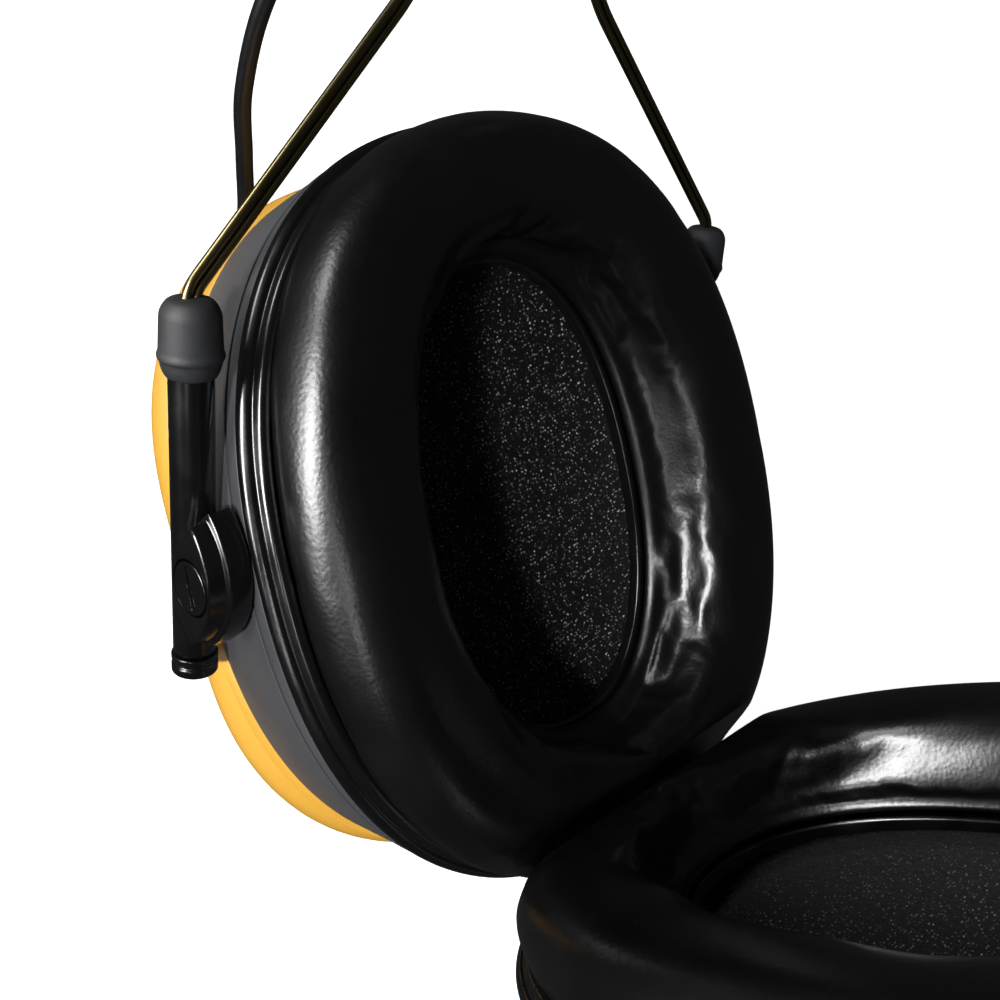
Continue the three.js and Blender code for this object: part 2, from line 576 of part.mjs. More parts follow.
function strand(offset) {
  const path = new Route(pairMiddle);
  const last = pairMiddle.length - 1;
  return pairMiddle.map((p, i) => {
    const tangent = path.getTangent(i / last);
    const sideways = new THREE.Vector3(0, 1, 0).addScaledVector(tangent, -tangent.y).normalize();
    return p.clone().addScaledVector(sideways, offset);
  });
}

for (const [end, hand] of [['front', 1], ['rear', -1]]) {
  for (const [place, offset] of [['outer', -STRAND_SPACING / 2], ['inner', STRAND_SPACING / 2]]) {
    const stations = strand(offset).map((p) => new THREE.Vector3(p.x, hand * p.y, p.z));
    node(group, `${end}_${place}_wire`, sweep(stations, WIRE_RADIUS, 6), WIRE);
  }
}

// A strip bent over the arch between two radii, a hand's width across.
function archStrip(inner, outer, halfWidth, endAngle) {
  const shape = new THREE.Shape();
  shape.absarc(0, 0, outer, Math.PI / 2 - endAngle, Math.PI / 2 + endAngle);
  shape.absarc(0, 0, inner, Math.PI / 2 + endAngle, Math.PI / 2 - endAngle, true);
  const options = { depth: 2 * halfWidth, bevelEnabled: false, curveSegments: 28 };
  return new THREE.ExtrudeGeometry(shape, options).rotateX(Math.PI / 2).translate(0, halfWidth, ARCH_HEIGHT);
}
const BAND_GAP = CABLE_RADIUS + GAP;
node(group, 'headband_cover', archStrip(ARCH_RADIUS + BAND_GAP, ARCH_RADIUS + BAND_GAP + COVER_THICK,
  PAD_HALF_WIDTH, PAD_END), VINYL);
node(group, 'headband_cushion', archStrip(ARCH_RADIUS - BAND_GAP - PAD_THICK, ARCH_RADIUS - BAND_GAP,
  PAD_HALF_WIDTH, PAD_END), VINYL);

// ---------------------------------------------------------------- cable between the cups
// One lead from gland to gland: up out of the left cup in a loose bow, under the headband's cover, and
// down to the right cup. The free stretches are nodes of their own.
const tip = glandSeat.clone().addScaledVector(glandAim, GLAND_LENGTH + GAP);
const glandTip = inWorld(-GLAND_U, tip.y, tip.z);
const glandHeading = new THREE.Vector3(
  -glandAim.y * SIN + glandAim.z * COS, 0, glandAim.y * COS + glandAim.z * SIN);
const underCover = onArch(PAD_END + 0.02, ARCH_RADIUS, 0);
const above = (x, y, rise) => new THREE.Vector3(x, y, CUP_CENTRE_Z + rise);
const bow = [
  glandTip,
  glandTip.clone().addScaledVector(glandHeading, 3),
  above(-103, -10.5, 11),
  above(-103.5, -12.5, 20),
  above(-103.5, -15, 31),
  above(-101, -16, 46),
  above(-96, -13, 64),
  above(-89, -7, 82),
  above(-82.5, -1.5, 96),
  underCover,
];
const leftTail = new THREE.CatmullRomCurve3(bow, false, 'centripetal').getSpacedPoints(22);
const rightTail = leftTail.map((p) => new THREE.Vector3(-p.x, p.y, p.z));
node(group, 'left_cable_tail', sweep(leftTail, CABLE_RADIUS, 8), RUBBER);
node(group, 'right_cable_tail', sweep(rightTail, CABLE_RADIUS, 8), RUBBER);
const under = [];
const CABLE_END = PAD_END + 0.02 - 2 * GAP / ARCH_RADIUS;
for (let i = 0; i <= 36; i++) under.push(onArch(CABLE_END * (1 - i / 18), ARCH_RADIUS, 0));
node(group, 'cable_over_head', sweep(under, CABLE_RADIUS, 8), RUBBER);

export default group;
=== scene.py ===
# %% [markdown]
# # Hearing protection earmuffs
# Two ear cups on a twin-wire spring headband, standing on the lower sides of their yellow shells with
# the cushions facing up. The frame below is the engineering model. Every visible surface is made
# here around it, and all but the cable's bowed lengths ride on the body that carries them.

# %% Load the frame
import math

import bmesh
import bpy
import numpy as np
from mathutils import Matrix


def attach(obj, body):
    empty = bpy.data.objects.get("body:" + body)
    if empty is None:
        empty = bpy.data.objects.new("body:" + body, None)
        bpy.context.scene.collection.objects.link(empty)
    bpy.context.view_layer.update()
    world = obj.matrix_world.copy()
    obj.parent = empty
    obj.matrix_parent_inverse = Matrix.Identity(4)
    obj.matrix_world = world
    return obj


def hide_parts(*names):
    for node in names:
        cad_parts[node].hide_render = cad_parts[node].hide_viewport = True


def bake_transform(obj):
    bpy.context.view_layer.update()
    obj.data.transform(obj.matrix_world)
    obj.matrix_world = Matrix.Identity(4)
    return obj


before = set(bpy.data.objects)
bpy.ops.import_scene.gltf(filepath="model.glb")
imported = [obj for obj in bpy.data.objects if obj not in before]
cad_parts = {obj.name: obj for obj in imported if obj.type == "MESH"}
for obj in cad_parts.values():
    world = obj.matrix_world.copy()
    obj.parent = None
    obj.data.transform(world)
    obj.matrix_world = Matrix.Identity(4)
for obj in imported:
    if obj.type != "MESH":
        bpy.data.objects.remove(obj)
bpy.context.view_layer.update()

# %% [markdown]
# ## Sizes
# The cups are drawn in a frame of their own, in millimetres: u across the cup, v up along it and n
# out of the cushion, with n = 0 at the lip of the ear opening. Each slider has one too: x outwards,
# y along the tube and z towards the ear. The functions here turn those into metres in the shared frame.

# %% Sizes in millimetres
MM = 0.001
GAP = 0.3
FACE_TILT = math.radians(43.7)
SIN, COS = math.sin(FACE_TILT), math.cos(FACE_TILT)
PIVOT_Z = 49.77
BODY = np.array([47.8, 53.5])
BODY_FRONT, BODY_DEPTH = 0.6, 17.5
BODY_DRAFT = np.array([2.5, 1.9])
DOME_RIM = BODY_FRONT - BODY_DEPTH - GAP
DOME_DEPTH = 19.0
OPENING = np.array([21.9, 34.0])
TUBE_OFFSET, TUBE_BEHIND = 49.8, 11.4
TUBE_LEAN = math.radians(25)
PIVOT_ALONG, PIVOT_ACROSS = 4.5, 5.6
CUP_CENTRE_X = 1.7 + (BODY[1] + 0.3) * SIN
PIVOT_V = PIVOT_ALONG * math.cos(TUBE_LEAN) - PIVOT_ACROSS * math.sin(TUBE_LEAN)
PIVOT_N = -TUBE_BEHIND + PIVOT_ALONG * math.sin(TUBE_LEAN) + PIVOT_ACROSS * math.cos(TUBE_LEAN)
CUP_CENTRE_Z = PIVOT_Z - PIVOT_V * COS - PIVOT_N * SIN
OVAL_POWER = 2.27
SIDES = {"left": -1, "right": 1}


def cup_to_frame(side, u, v, n):
    """Turns cup coordinates into the shared frame, in metres: two tilted axes and a shift."""
    x = side * (CUP_CENTRE_X + SIN * v - COS * n)
    z = CUP_CENTRE_Z + COS * v + SIN * n
    return np.stack(np.broadcast_arrays(x, -side * u, z), -1) * MM


def slider_to_frame(side, hand, x, y, z):
    """Turns slider coordinates into the cup's by the lean of the tube, then into the shared frame."""
    v = y * math.cos(TUBE_LEAN) - z * math.sin(TUBE_LEAN)
    n = -TUBE_BEHIND + y * math.sin(TUBE_LEAN) + z * math.cos(TUBE_LEAN)
    return cup_to_frame(side, hand * (TUBE_OFFSET + x), v, n)


print("ear opening centre, mm", round(CUP_CENTRE_X, 2), round(CUP_CENTRE_Z, 2))

# %% [markdown]
# ## Camera, light and floor
# A camera is aimed by a heading, an elevation and a roll. Black gloss shows its lights and nothing
# else, so the studio is mostly dark with a few long soft boxes, and the pale floor and backdrop are
# kept out of the reflections by their own visibility settings.

# %% Camera
CAMERA_AT = (35.52, -119.71, 152.0)
HEADING, ELEVATION, ROLL = math.radians(123.29), math.radians(-36.26), math.radians(23.34)
LENS = 42.3

camera = bpy.data.objects.new("camera", bpy.data.cameras.new("camera"))
bpy.context.scene.collection.objects.link(camera)
forward = np.array([math.cos(HEADING) * math.cos(ELEVATION), math.sin(HEADING) * math.cos(ELEVATION),
                    math.sin(ELEVATION)])
level = np.cross(forward, (0, 0, 1))
level /= np.linalg.norm(level)
upright = np.cross(level, forward)
right = math.cos(ROLL) * level + math.sin(ROLL) * upright
up = np.cross(right, forward)
camera.matrix_world = Matrix.Translation([c * MM for c in CAMERA_AT]) @ Matrix(
    np.column_stack([right, up, -forward]).tolist()).to_4x4()
camera.data.lens = LENS
camera.data.sensor_width = 36
camera.data.clip_start = 0.005
bpy.context.scene.camera = camera
print("camera looks along", forward.round(3))

# %% Colour, nodes and materials
def rgb(code):
    """sRGB hex to linear colour: the standard's curve, which is a power of 2.4 above a short straight toe."""
    s = np.array([int(code[i:i + 2], 16) for i in (1, 3, 5)]) / 255
    return (*np.where(s <= 0.04045, s / 12.92, ((s + 0.055) / 1.055) ** 2.4), 1.0)


def add(tree, kind, links=None, **settings):
    """Adds a shader node, sets its properties, and sets or links its inputs."""
    made = tree.nodes.new("ShaderNode" + kind)
    for key, value in settings.items():
        setattr(made, key, value)
    for key, value in (links or {}).items():
        if isinstance(value, bpy.types.NodeSocket):
            tree.links.new(value, made.inputs[key])
        else:
            made.inputs[key].default_value = value
    return made


def start_material(name, **constants):
    """A Principled material with its constant values set on the shader's own sockets."""
    material = bpy.data.materials.new(name)
    material.use_nodes = True
    shader = material.node_tree.nodes["Principled BSDF"]
    for key, value in constants.items():
        shader.inputs[key.replace("_", " ").title().replace("Ior", "IOR")].default_value = value
    coords = add(material.node_tree, "TexCoord").outputs["Object"]
    return material, material.node_tree, shader, coords


# %% [markdown]
# ## Materials
# Each one starts from the real finish. Patterns are scaled from millimetres: a texture scale of
# 1 / (size in metres) makes one feature that long, because Object coordinates are metres here.

# %% Moulded yellow ABS
# Satin moulded ABS: saturated, softly glossy, with the faint orange peel of a polished steel mould.
YELLOW, tree, shader, coords = start_material("moulded_yellow_abs", roughness=0.38, ior=1.53)
blotch = add(tree, "TexNoise", {"Vector": coords, "Scale": 1 / (25 * MM), "Detail": 3.0})
tone = add(tree, "Mix", {0: blotch.outputs["Fac"], "A": rgb("#f5b440"), "B": rgb("#fabf4e")},
           data_type="RGBA")
peel = add(tree, "TexNoise", {"Vector": coords, "Scale": 1 / (0.6 * MM), "Detail": 2.0})
bump = add(tree, "Bump", {"Height": peel.outputs["Fac"], "Strength": 0.12, "Distance": 0.02 * MM})
tree.links.new([o for o in tone.outputs if o.type == "RGBA"][0], shader.inputs["Base Color"])
tree.links.new(bump.outputs["Normal"], shader.inputs["Normal"])

# %% Moulded charcoal ABS
# Spark-eroded matte ABS: a fine even grit that scatters the light, so the ring never shows a sharp highlight.
CHARCOAL, tree, shader, coords = start_material("eroded_charcoal_abs", ior=1.53)
blotch = add(tree, "TexNoise", {"Vector": coords, "Scale": 1 / (9 * MM), "Detail": 4.0})
tone = add(tree, "Mix", {0: blotch.outputs["Fac"], "A": rgb("#434448"), "B": rgb("#505155")},
           data_type="RGBA")
rough = add(tree, "MapRange", {"Value": blotch.outputs["Fac"], "To Min": 0.5, "To Max": 0.62})
grit = add(tree, "TexNoise", {"Vector": coords, "Scale": 1 / (0.22 * MM), "Detail": 3.0})
bump = add(tree, "Bump", {"Height": grit.outputs["Fac"], "Strength": 0.35, "Distance": 0.03 * MM})
tree.links.new([o for o in tone.outputs if o.type == "RGBA"][0], shader.inputs["Base Color"])
tree.links.new(rough.outputs["Result"], shader.inputs["Roughness"])
tree.links.new(bump.outputs["Normal"], shader.inputs["Normal"])

# %% Polished black ABS
# Polished moulded ABS: a deep black that shows the soft boxes as clean lines, with light handling haze.
BLACK, tree, shader, coords = start_material("polished_black_abs", base_color=rgb("#0c0c0d"), ior=1.53)
haze = add(tree, "TexNoise", {"Vector": coords, "Scale": 1 / (6 * MM), "Detail": 5.0})
rough = add(tree, "MapRange", {"Value": haze.outputs["Fac"], "From Min": 0.3, "From Max": 0.7,
                              "To Min": 0.16, "To Max": 0.3})
wave = add(tree, "TexNoise", {"Vector": coords, "Scale": 1 / (1.2 * MM), "Detail": 2.0})
bump = add(tree, "Bump", {"Height": wave.outputs["Fac"], "Strength": 0.1, "Distance": 0.02 * MM})
tree.links.new(rough.outputs["Result"], shader.inputs["Roughness"])
tree.links.new(bump.outputs["Normal"], shader.inputs["Normal"])

# %% Grained black vinyl
# Soft glossy vinyl: its pressed grain of 0.5 mm pebbles breaks every highlight into sparkling specks.
VINYL, tree, shader, coords = start_material("grained_vinyl", base_color=rgb("#090909"), ior=1.5)
pebble = add(tree, "TexVoronoi", {"Vector": coords, "Scale": 1 / (0.55 * MM), "Randomness": 1.0},
             feature="SMOOTH_F1")
crease = add(tree, "TexNoise", {"Vector": coords, "Scale": 1 / (1.6 * MM), "Detail": 6.0})
height = add(tree, "Math", {0: pebble.outputs["Distance"], 1: crease.outputs["Fac"]}, operation="SUBTRACT")
bump = add(tree, "Bump", {"Height": height.outputs[0], "Strength": 0.5, "Distance": 0.05 * MM})
shine = add(tree, "TexNoise", {"Vector": coords, "Scale": 1 / (12 * MM), "Detail": 3.0})
rough = add(tree, "MapRange", {"Value": shine.outputs["Fac"], "From Min": 0.3, "From Max": 0.7,
                              "To Min": 0.27, "To Max": 0.36})
tree.links.new(rough.outputs["Result"], shader.inputs["Roughness"])
tree.links.new(bump.outputs["Normal"], shader.inputs["Normal"])

# %% Open-cell foam
# Black open-cell foam: cell walls of about half a millimetre. Near-white specks in the base colour are
# painted glints, standing in for cell walls that face the light.
FOAM, tree, shader, coords = start_material("open_cell_foam", ior=1.45)
cells = add(tree, "TexVoronoi", {"Vector": coords, "Scale": 1 / (0.42 * MM), "Randomness": 1.0})
pores = add(tree, "TexNoise", {"Vector": coords, "Scale": 1 / (0.5 * MM), "Detail": 5.0, "Roughness": 0.7})
chance = add(tree, "SeparateColor", {"Color": cells.outputs["Color"]})
# Painted glints: a random share of the cells, brightest at their cores, picks the specks.
painted_glint_odds = add(tree, "MapRange", {"Value": chance.outputs["Red"], "From Min": 0.4, "From Max": 1.0})
sharp = add(tree, "Math", {0: painted_glint_odds.outputs["Result"], 1: 2.2}, operation="POWER")
core = add(tree, "MapRange", {"Value": cells.outputs["Distance"], "From Min": 0.45, "From Max": 0.1})
painted_glint = add(tree, "Math", {0: sharp.outputs[0], 1: core.outputs["Result"]}, operation="MULTIPLY")
# Painted highlight: the specks get a near-white base colour in place of real glints.
tone = add(tree, "Mix", {0: painted_glint.outputs[0], "A": rgb("#101012"), "B": rgb("#e4e4ea")}, data_type="RGBA")
bump = add(tree, "Bump", {"Height": pores.outputs["Fac"], "Strength": 0.9, "Distance": 0.4 * MM})
shader.inputs["Roughness"].default_value = 0.85
tree.links.new([o for o in tone.outputs if o.type == "RGBA"][0], shader.inputs["Base Color"])
tree.links.new(bump.outputs["Normal"], shader.inputs["Normal"])

# %% Moulded rubber
# Matte thermoplastic rubber: dusty charcoal with a dry, slightly mottled skin.
RUBBER, tree, shader, coords = start_material("moulded_rubber", ior=1.5)
dust = add(tree, "TexNoise", {"Vector": coords, "Scale": 1 / (2.2 * MM), "Detail": 6.0})
tone = add(tree, "Mix", {0: dust.outputs["Fac"], "A": rgb("#1c1d1f"), "B": rgb("#2a2b2e")}, data_type="RGBA")
rough = add(tree, "MapRange", {"Value": dust.outputs["Fac"], "To Min": 0.55, "To Max": 0.75})
skin = add(tree, "TexNoise", {"Vector": coords, "Scale": 1 / (0.3 * MM), "Detail": 3.0})
bump = add(tree, "Bump", {"Height": skin.outputs["Fac"], "Strength": 0.3, "Distance": 0.04 * MM})
tree.links.new([o for o in tone.outputs if o.type == "RGBA"][0], shader.inputs["Base Color"])
tree.links.new(rough.outputs["Result"], shader.inputs["Roughness"])
tree.links.new(bump.outputs["Normal"], shader.inputs["Normal"])

# %% Cable jacket
# Extruded soft PVC: glossier than the caps, with faint rings from the extruder.
JACKET, tree, shader, coords = start_material("pvc_cable_jacket", base_color=rgb("#101012"), ior=1.5)
streak = add(tree, "TexNoise", {"Vector": coords, "Scale": 1 / (1.5 * MM), "Detail": 3.0})
rough = add(tree, "MapRange", {"Value": streak.outputs["Fac"], "To Min": 0.28, "To Max": 0.42})
bump = add(tree, "Bump", {"Height": streak.outputs["Fac"], "Strength": 0.12, "Distance": 0.03 * MM})
tree.links.new(rough.outputs["Result"], shader.inputs["Roughness"])
tree.links.new(bump.outputs["Normal"], shader.inputs["Normal"])

# %% Spring wire
# Drawn spring steel with a bronze temper tint: a metal with fine die lines, so its glints run long.
WIRE, tree, shader, coords = start_material("tempered_spring_wire", metallic=1.0)
temper = add(tree, "TexNoise", {"Vector": coords, "Scale": 1 / (14 * MM), "Detail": 3.0})
tone = add(tree, "Mix", {0: temper.outputs["Fac"], "A": rgb("#6a5f41"), "B": rgb("#93865f")},
           data_type="RGBA")
rough = add(tree, "MapRange", {"Value": temper.outputs["Fac"], "To Min": 0.2, "To Max": 0.34})
tree.links.new([o for o in tone.outputs if o.type == "RGBA"][0], shader.inputs["Base Color"])
tree.links.new(rough.outputs["Result"], shader.inputs["Roughness"])

# %% Steel, solder mask and cell sleeve
# Plain steel, solder mask and a cell's shrink sleeve. They sit inside the cups and show only when opened.
STEEL, tree, shader, coords = start_material("plain_steel", metallic=1.0, base_color=rgb("#b4b6ba"))
brush = add(tree, "TexNoise", {"Vector": coords, "Scale": 1 / (0.8 * MM), "Detail": 4.0})
rough = add(tree, "MapRange", {"Value": brush.outputs["Fac"], "To Min": 0.22, "To Max": 0.42})
tree.links.new(rough.outputs["Result"], shader.inputs["Roughness"])

BOARD, tree, shader, coords = start_material("green_solder_mask", roughness=0.35)
tracks = add(tree, "TexVoronoi", {"Vector": coords, "Scale": 1 / (3 * MM)}, distance="MANHATTAN")
tone = add(tree, "Mix", {0: tracks.outputs["Distance"], "A": rgb("#145a30"), "B": rgb("#237a45")},
           data_type="RGBA")
tree.links.new([o for o in tone.outputs if o.type == "RGBA"][0], shader.inputs["Base Color"])

SLEEVE, tree, shader, coords = start_material("cell_shrink_sleeve", roughness=0.25)
film = add(tree, "TexNoise", {"Vector": coords, "Scale": 1 / (5 * MM), "Detail": 2.0})
tone = add(tree, "Mix", {0: film.outputs["Fac"], "A": rgb("#35557e"), "B": rgb("#45689a")}, data_type="RGBA")
tree.links.new([o for o in tone.outputs if o.type == "RGBA"][0], shader.inputs["Base Color"])
print(len(bpy.data.materials), "materials")

# %% [markdown]
# ## Mesh helpers
# Every new piece is a grid of points worked out with arrays: rows run round the piece, and columns
# run along its profile. Corners are rounded in the profile itself, so no bevel has to guess them.

# %% Profiles and grids
def rounded(points, radii, steps=5, closed=True):
    """Rounds a polygon's corners: each becomes a quadratic curve from one edge to the next, starting its
    radius before the corner, or just under half the shorter edge. A radius of 0 keeps the corner."""
    p = np.asarray(points, float)
    r = np.broadcast_to(np.asarray(radii, float), len(p))
    before, after = np.roll(p, 1, 0) - p, np.roll(p, -1, 0) - p
    long_a, long_b = np.linalg.norm(before, axis=1), np.linalg.norm(after, axis=1)
    reach = np.minimum(r, 0.48 * np.minimum(long_a, long_b))
    if not closed:
        reach[[0, -1]] = 0
    a = p + before * (reach / np.maximum(long_a, 1e-9))[:, None]
    b = p + after * (reach / np.maximum(long_b, 1e-9))[:, None]
    t = np.linspace(0, 1, steps)[None, :, None]
    curve = (1 - t) ** 2 * a[:, None] + 2 * t * (1 - t) * p[:, None] + t ** 2 * b[:, None]
    flat = curve.reshape(-1, p.shape[1])
    keep = np.r_[True, np.linalg.norm(np.diff(flat, axis=0), axis=1) > 1e-6]
    return flat[keep]


def smooth_loop(points, count, closed=True):
    """A Catmull-Rom curve through the points, sampled count times: a cubic between each pair, whose slope
    at a point is half the step between its neighbours."""
    p = np.asarray(points, float)
    if closed:
        p = np.vstack([p[-1], p, p[0], p[1]])
    else:
        p = np.vstack([2 * p[0] - p[1], p, 2 * p[-1] - p[-2]])
    spans = len(p) - 3
    s = np.linspace(0, spans, count, endpoint=not closed)
    i = np.minimum(s.astype(int), spans - 1)
    t = (s - i)[:, None]
    a, b, c, d = p[i], p[i + 1], p[i + 2], p[i + 3]
    second = 2 * a - 5 * b + 4 * c - d
    third = 3 * b - a - 3 * c + d
    return 0.5 * (2 * b + (c - a) * t + second * t ** 2 + third * t ** 3)


def piece(name, grid, body, material, wrap=(True, True), smooth_angle=35):
    """Puts a grid of points, rows by columns, into a mesh of quads, closing it round either way as wrap
    says. Points that meet at a pole or a seam are merged, and the faces are turned outwards."""
    rows, cols = grid.shape[:2]
    i, j = np.meshgrid(np.arange(rows - (not wrap[0])), np.arange(cols - (not wrap[1])), indexing="ij")
    i2, j2 = (i + 1) % rows, (j + 1) % cols
    quads = np.stack([i * cols + j, i2 * cols + j, i2 * cols + j2, i * cols + j2], -1).reshape(-1, 4)
    mesh = bpy.data.meshes.new(name)
    mesh.from_pydata(grid.reshape(-1, 3).tolist(), [], quads.tolist())
    made = bpy.data.objects.new(name, mesh)
    bpy.context.scene.collection.objects.link(made)
    tidy_mesh(mesh)
    return dress(made, body, material, smooth_angle)


def tidy_mesh(mesh):
    """Merges points that meet and turns the faces outwards."""
    work = bmesh.new()
    work.from_mesh(mesh)
    bmesh.ops.remove_doubles(work, verts=work.verts, dist=1e-6)
    bmesh.ops.dissolve_degenerate(work, edges=work.edges, dist=1e-7)
    holes = [e for e in work.edges if e.is_boundary]
    if holes:
        bmesh.ops.holes_fill(work, edges=holes, sides=0)
    bmesh.ops.recalc_face_normals(work, faces=work.faces)
    work.to_mesh(mesh)
    work.free()


def dress(made, body, material, smooth_angle=35):
    """Smooths the faces up to an angle, gives the material, and sets the body."""
    made.data.polygons.foreach_set("use_smooth", [True] * len(made.data.polygons))
    made.data.set_sharp_from_angle(angle=math.radians(smooth_angle))
    made.data.materials.append(material)
    if body:
        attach(made, body)
    return made


def oval(half_sizes, angle, power=OVAL_POWER):
    """A superellipse: the point at each angle where (x/a)^p + (y/b)^p = 1. Half sizes may be a list, which
    gives one oval for each, as rows by columns."""
    half = np.atleast_2d(half_sizes)
    c, s = np.cos(angle)[:, None], np.sin(angle)[:, None]
    safe = np.maximum(half, 1e-9)
    radius = (np.abs(c / safe[:, 0]) ** power + np.abs(s / safe[:, 1]) ** power) ** (-1 / power)
    radius = np.where(half[:, 0] < 1e-6, 0, radius)
    return radius * c, radius * s


def round_angles(count):
    return np.linspace(0, 2 * math.pi, count, endpoint=False)


def oval_ring(side, sections, count=192):
    """Carries a profile of (half width, half height, n) round the cup's oval."""
    u, v = oval(sections[:, :2], round_angles(count))
    return cup_to_frame(side, u, v, sections[:, 2])


def inset_ring(base, profile, radii, steps=5):
    """A closed profile of (inset, n) on an oval of the given half sizes, with rounded corners."""
    flat = rounded(profile, radii, steps)
    return np.column_stack([base[0] - flat[:, 0], base[1] - flat[:, 0], flat[:, 1]])


def turned(profile, radii, place, count=72, steps=5):
    """Turns a profile of (radius, height) round the height axis; place maps the three arrays of
    coordinates (two across, one along the axis) into the shared frame."""
    flat = rounded(profile, radii, steps, closed=False)
    angle = round_angles(count)[:, None]
    height = np.broadcast_to(flat[:, 1], (count, len(flat)))
    return place(flat[:, 0] * np.cos(angle), flat[:, 0] * np.sin(angle), height)


# %% [markdown]
# ## Cup shells
# The yellow dome is a superellipse that closes like a cushion: half sizes fall as the sine of an
# angle to the power two thirds, while the depth follows its cosine. It swells beyond its rim at its four
# corners, has a waist beside the sliders, and is flat where it stands on the table.

# %% Yellow domes
DOME_WALL, FLAT_WALL = 2.4, 1.2
SHELL_DEPTH = 20.4
SWELL_OUT, SWELL_BACK = 4.0, 0.8
WAIST_SHARE, WAIST_WIDTH = 0.8, math.radians(26)
END_SHARE, END_WIDTH = 0.85, math.radians(34)


def swell_round(angle):
    """How much of the swell each angle gets: 1, less one bell curve on both sides, where the sliders
    pass, and another at the top and the bottom, where the shell rests on the table."""
    from_side = np.arcsin(np.abs(np.sin(angle)))
    from_end = math.pi / 2 - from_side
    waist = WAIST_SHARE * np.exp(-(from_side / WAIST_WIDTH) ** 2)
    return 1 - waist - END_SHARE * np.exp(-(from_end / END_WIDTH) ** 2)


def dome(side):
    """Outer and inner skins of the dome as one closed profile, carried round the oval. Both swell past the
    rim's oval by a sine that is zero at the rim and at the pole, and are flat where the shell rests."""
    theta = np.linspace(0, math.pi / 2, 44)
    rim_half = BODY - BODY_DRAFT
    swell = SWELL_OUT * np.sin(math.pi * np.cos(theta) ** SWELL_BACK)
    skins = []
    for shrink in (0, DOME_WALL):
        half = (rim_half - shrink)[None, :] * np.sin(theta)[:, None] ** (2 / 3)
        skins.append(np.column_stack([half, DOME_RIM - (SHELL_DEPTH - shrink) * np.cos(theta), swell]))
    lip = skins[0][-1] - [0, 0, 0.5, 0]
    inner_rim = skins[0][-1] - [0.4, 0.4, 0, 0]
    sections = np.vstack([skins[0][:-1], lip, inner_rim, skins[1][::-1]])
    angle = round_angles(176)
    u, v = oval(sections[:, :2], angle)
    grow = 1 + swell_round(angle)[:, None] * sections[:, 3] / np.maximum(np.hypot(u, v), 1e-3)
    grid = cup_to_frame(side, u * grow, v * grow, sections[:, 2])
    lowest = np.where(np.arange(len(sections)) <= len(theta), 0.0, FLAT_WALL * MM)
    grid[..., 2] = np.maximum(grid[..., 2], lowest)
    return grid


for name, side in SIDES.items():
    shell = piece(f"{name}_dome", dome(side), f"{name}_cup", YELLOW, (True, False))
    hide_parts(f"{name}_outer_shell")
print("dome triangles", 2 * len(shell.data.polygons))

# %% Charcoal cup bodies
# A drafted ring with a fine parting groove and a thin raised lip just behind the black flange.
BODY_WALL = 2.6
GROOVE_AT, GROOVE_WIDE, GROOVE_DEEP = 2.6, 0.45, 0.5


def body_ring(side):
    """Tapers from front to back: the inset grows with depth, in proportion to the draft of each axis."""
    depth = BODY_DEPTH
    outline = [(0.0, 0), (0.0, GROOVE_AT), (GROOVE_DEEP, GROOVE_AT), (GROOVE_DEEP, GROOVE_AT + GROOVE_WIDE),
               (-0.12, GROOVE_AT + GROOVE_WIDE), (-0.12, GROOVE_AT + 1.3), (0.0, GROOVE_AT + 1.6),
               (0.0, depth), (BODY_WALL, depth), (BODY_WALL, 0)]
    flat = rounded(outline, [0.3, 0.06, 0.1, 0.1, 0.06, 0.1, 0.5, 0.6, 0.5, 0.5])
    share = flat[:, 1] / depth
    half = BODY[None, :] - share[:, None] * BODY_DRAFT[None, :] - flat[:, :1]
    return oval_ring(side, np.column_stack([half, BODY_FRONT - flat[:, 1]]), 224)


for name, side in SIDES.items():
    made = piece(f"{name}_body_ring", body_ring(side), f"{name}_cup", CHARCOAL)
    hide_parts(f"{name}_cup_body")

# %% Black clip rings and cushion plates
# The clip ring is the flange that the cushion snaps into: a flat step outside and a rounded bead that
# stands up beside the vinyl. The plate behind the cushion ends in a smooth lip round the ear opening.
RING = BODY + 0.3
RING_FRONT = BODY_FRONT + GAP
ring_outline = [(0, RING_FRONT), (0, 2.05), (0.7, 2.75), (1.25, 2.75), (1.6, 4.15), (3.1, 4.15), (3.6, 2.9),
                (9, 2.9), (9, RING_FRONT)]
plate_outline = [(0, -1.2), (0, 0), (8.6, 0), (9.2, 0.85), (10.6, 0.85), (10.6, -1.2)]
PLATE_EDGE = OPENING + 10.6
for name, side in SIDES.items():
    sections = inset_ring(RING, ring_outline, [0.3, 0.4, 0.4, 0.3, 0.8, 0.8, 0.3, 0.2, 0.2])
    made = piece(f"{name}_flange", oval_ring(side, sections, 240), f"{name}_cup", BLACK)
    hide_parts(f"{name}_clip_ring")
    sections = inset_ring(PLATE_EDGE, plate_outline, [0.2, 0.2, 0.5, 0.5, 0.6, 0.3])
    made = piece(f"{name}_opening_lip", oval_ring(side, sections), f"{name}_cup", BLACK)
    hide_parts(f"{name}_cushion_plate")
print("flange outer half sizes, mm", RING)

# %% [markdown]
# ## Ear cushions
# A vinyl skin over foam, heat-formed in one piece: fat outside, with a crown that rolls over into the ear
# hollow, where the skin puckers because its inner edge is shorter. The form is a closed section carried
# round the oval; puckers are added along the inner crown; then a short pressure simulation fills the skin.

# %% Cushion form
CUSHION = BODY - [3.1, 0.3]
AROUND, ACROSS = 240, 48
# Section: share of the way from the cushion's outer edge (0) to the ear opening (1), and n.
CUSHION_SECTION = [
    (0.13, 3.35), (0.02, 4.6), (-0.005, 7.2), (0.02, 10.4), (0.10, 13.3), (0.24, 14.9), (0.42, 15.0),
    (0.57, 14.5), (0.69, 13.4), (0.77, 11.5), (0.82, 8.5), (0.88, 5.2), (0.96, 2.9), (0.97, 1.6),
    (0.88, 1.3), (0.72, 3.3), (0.4, 3.3),
]
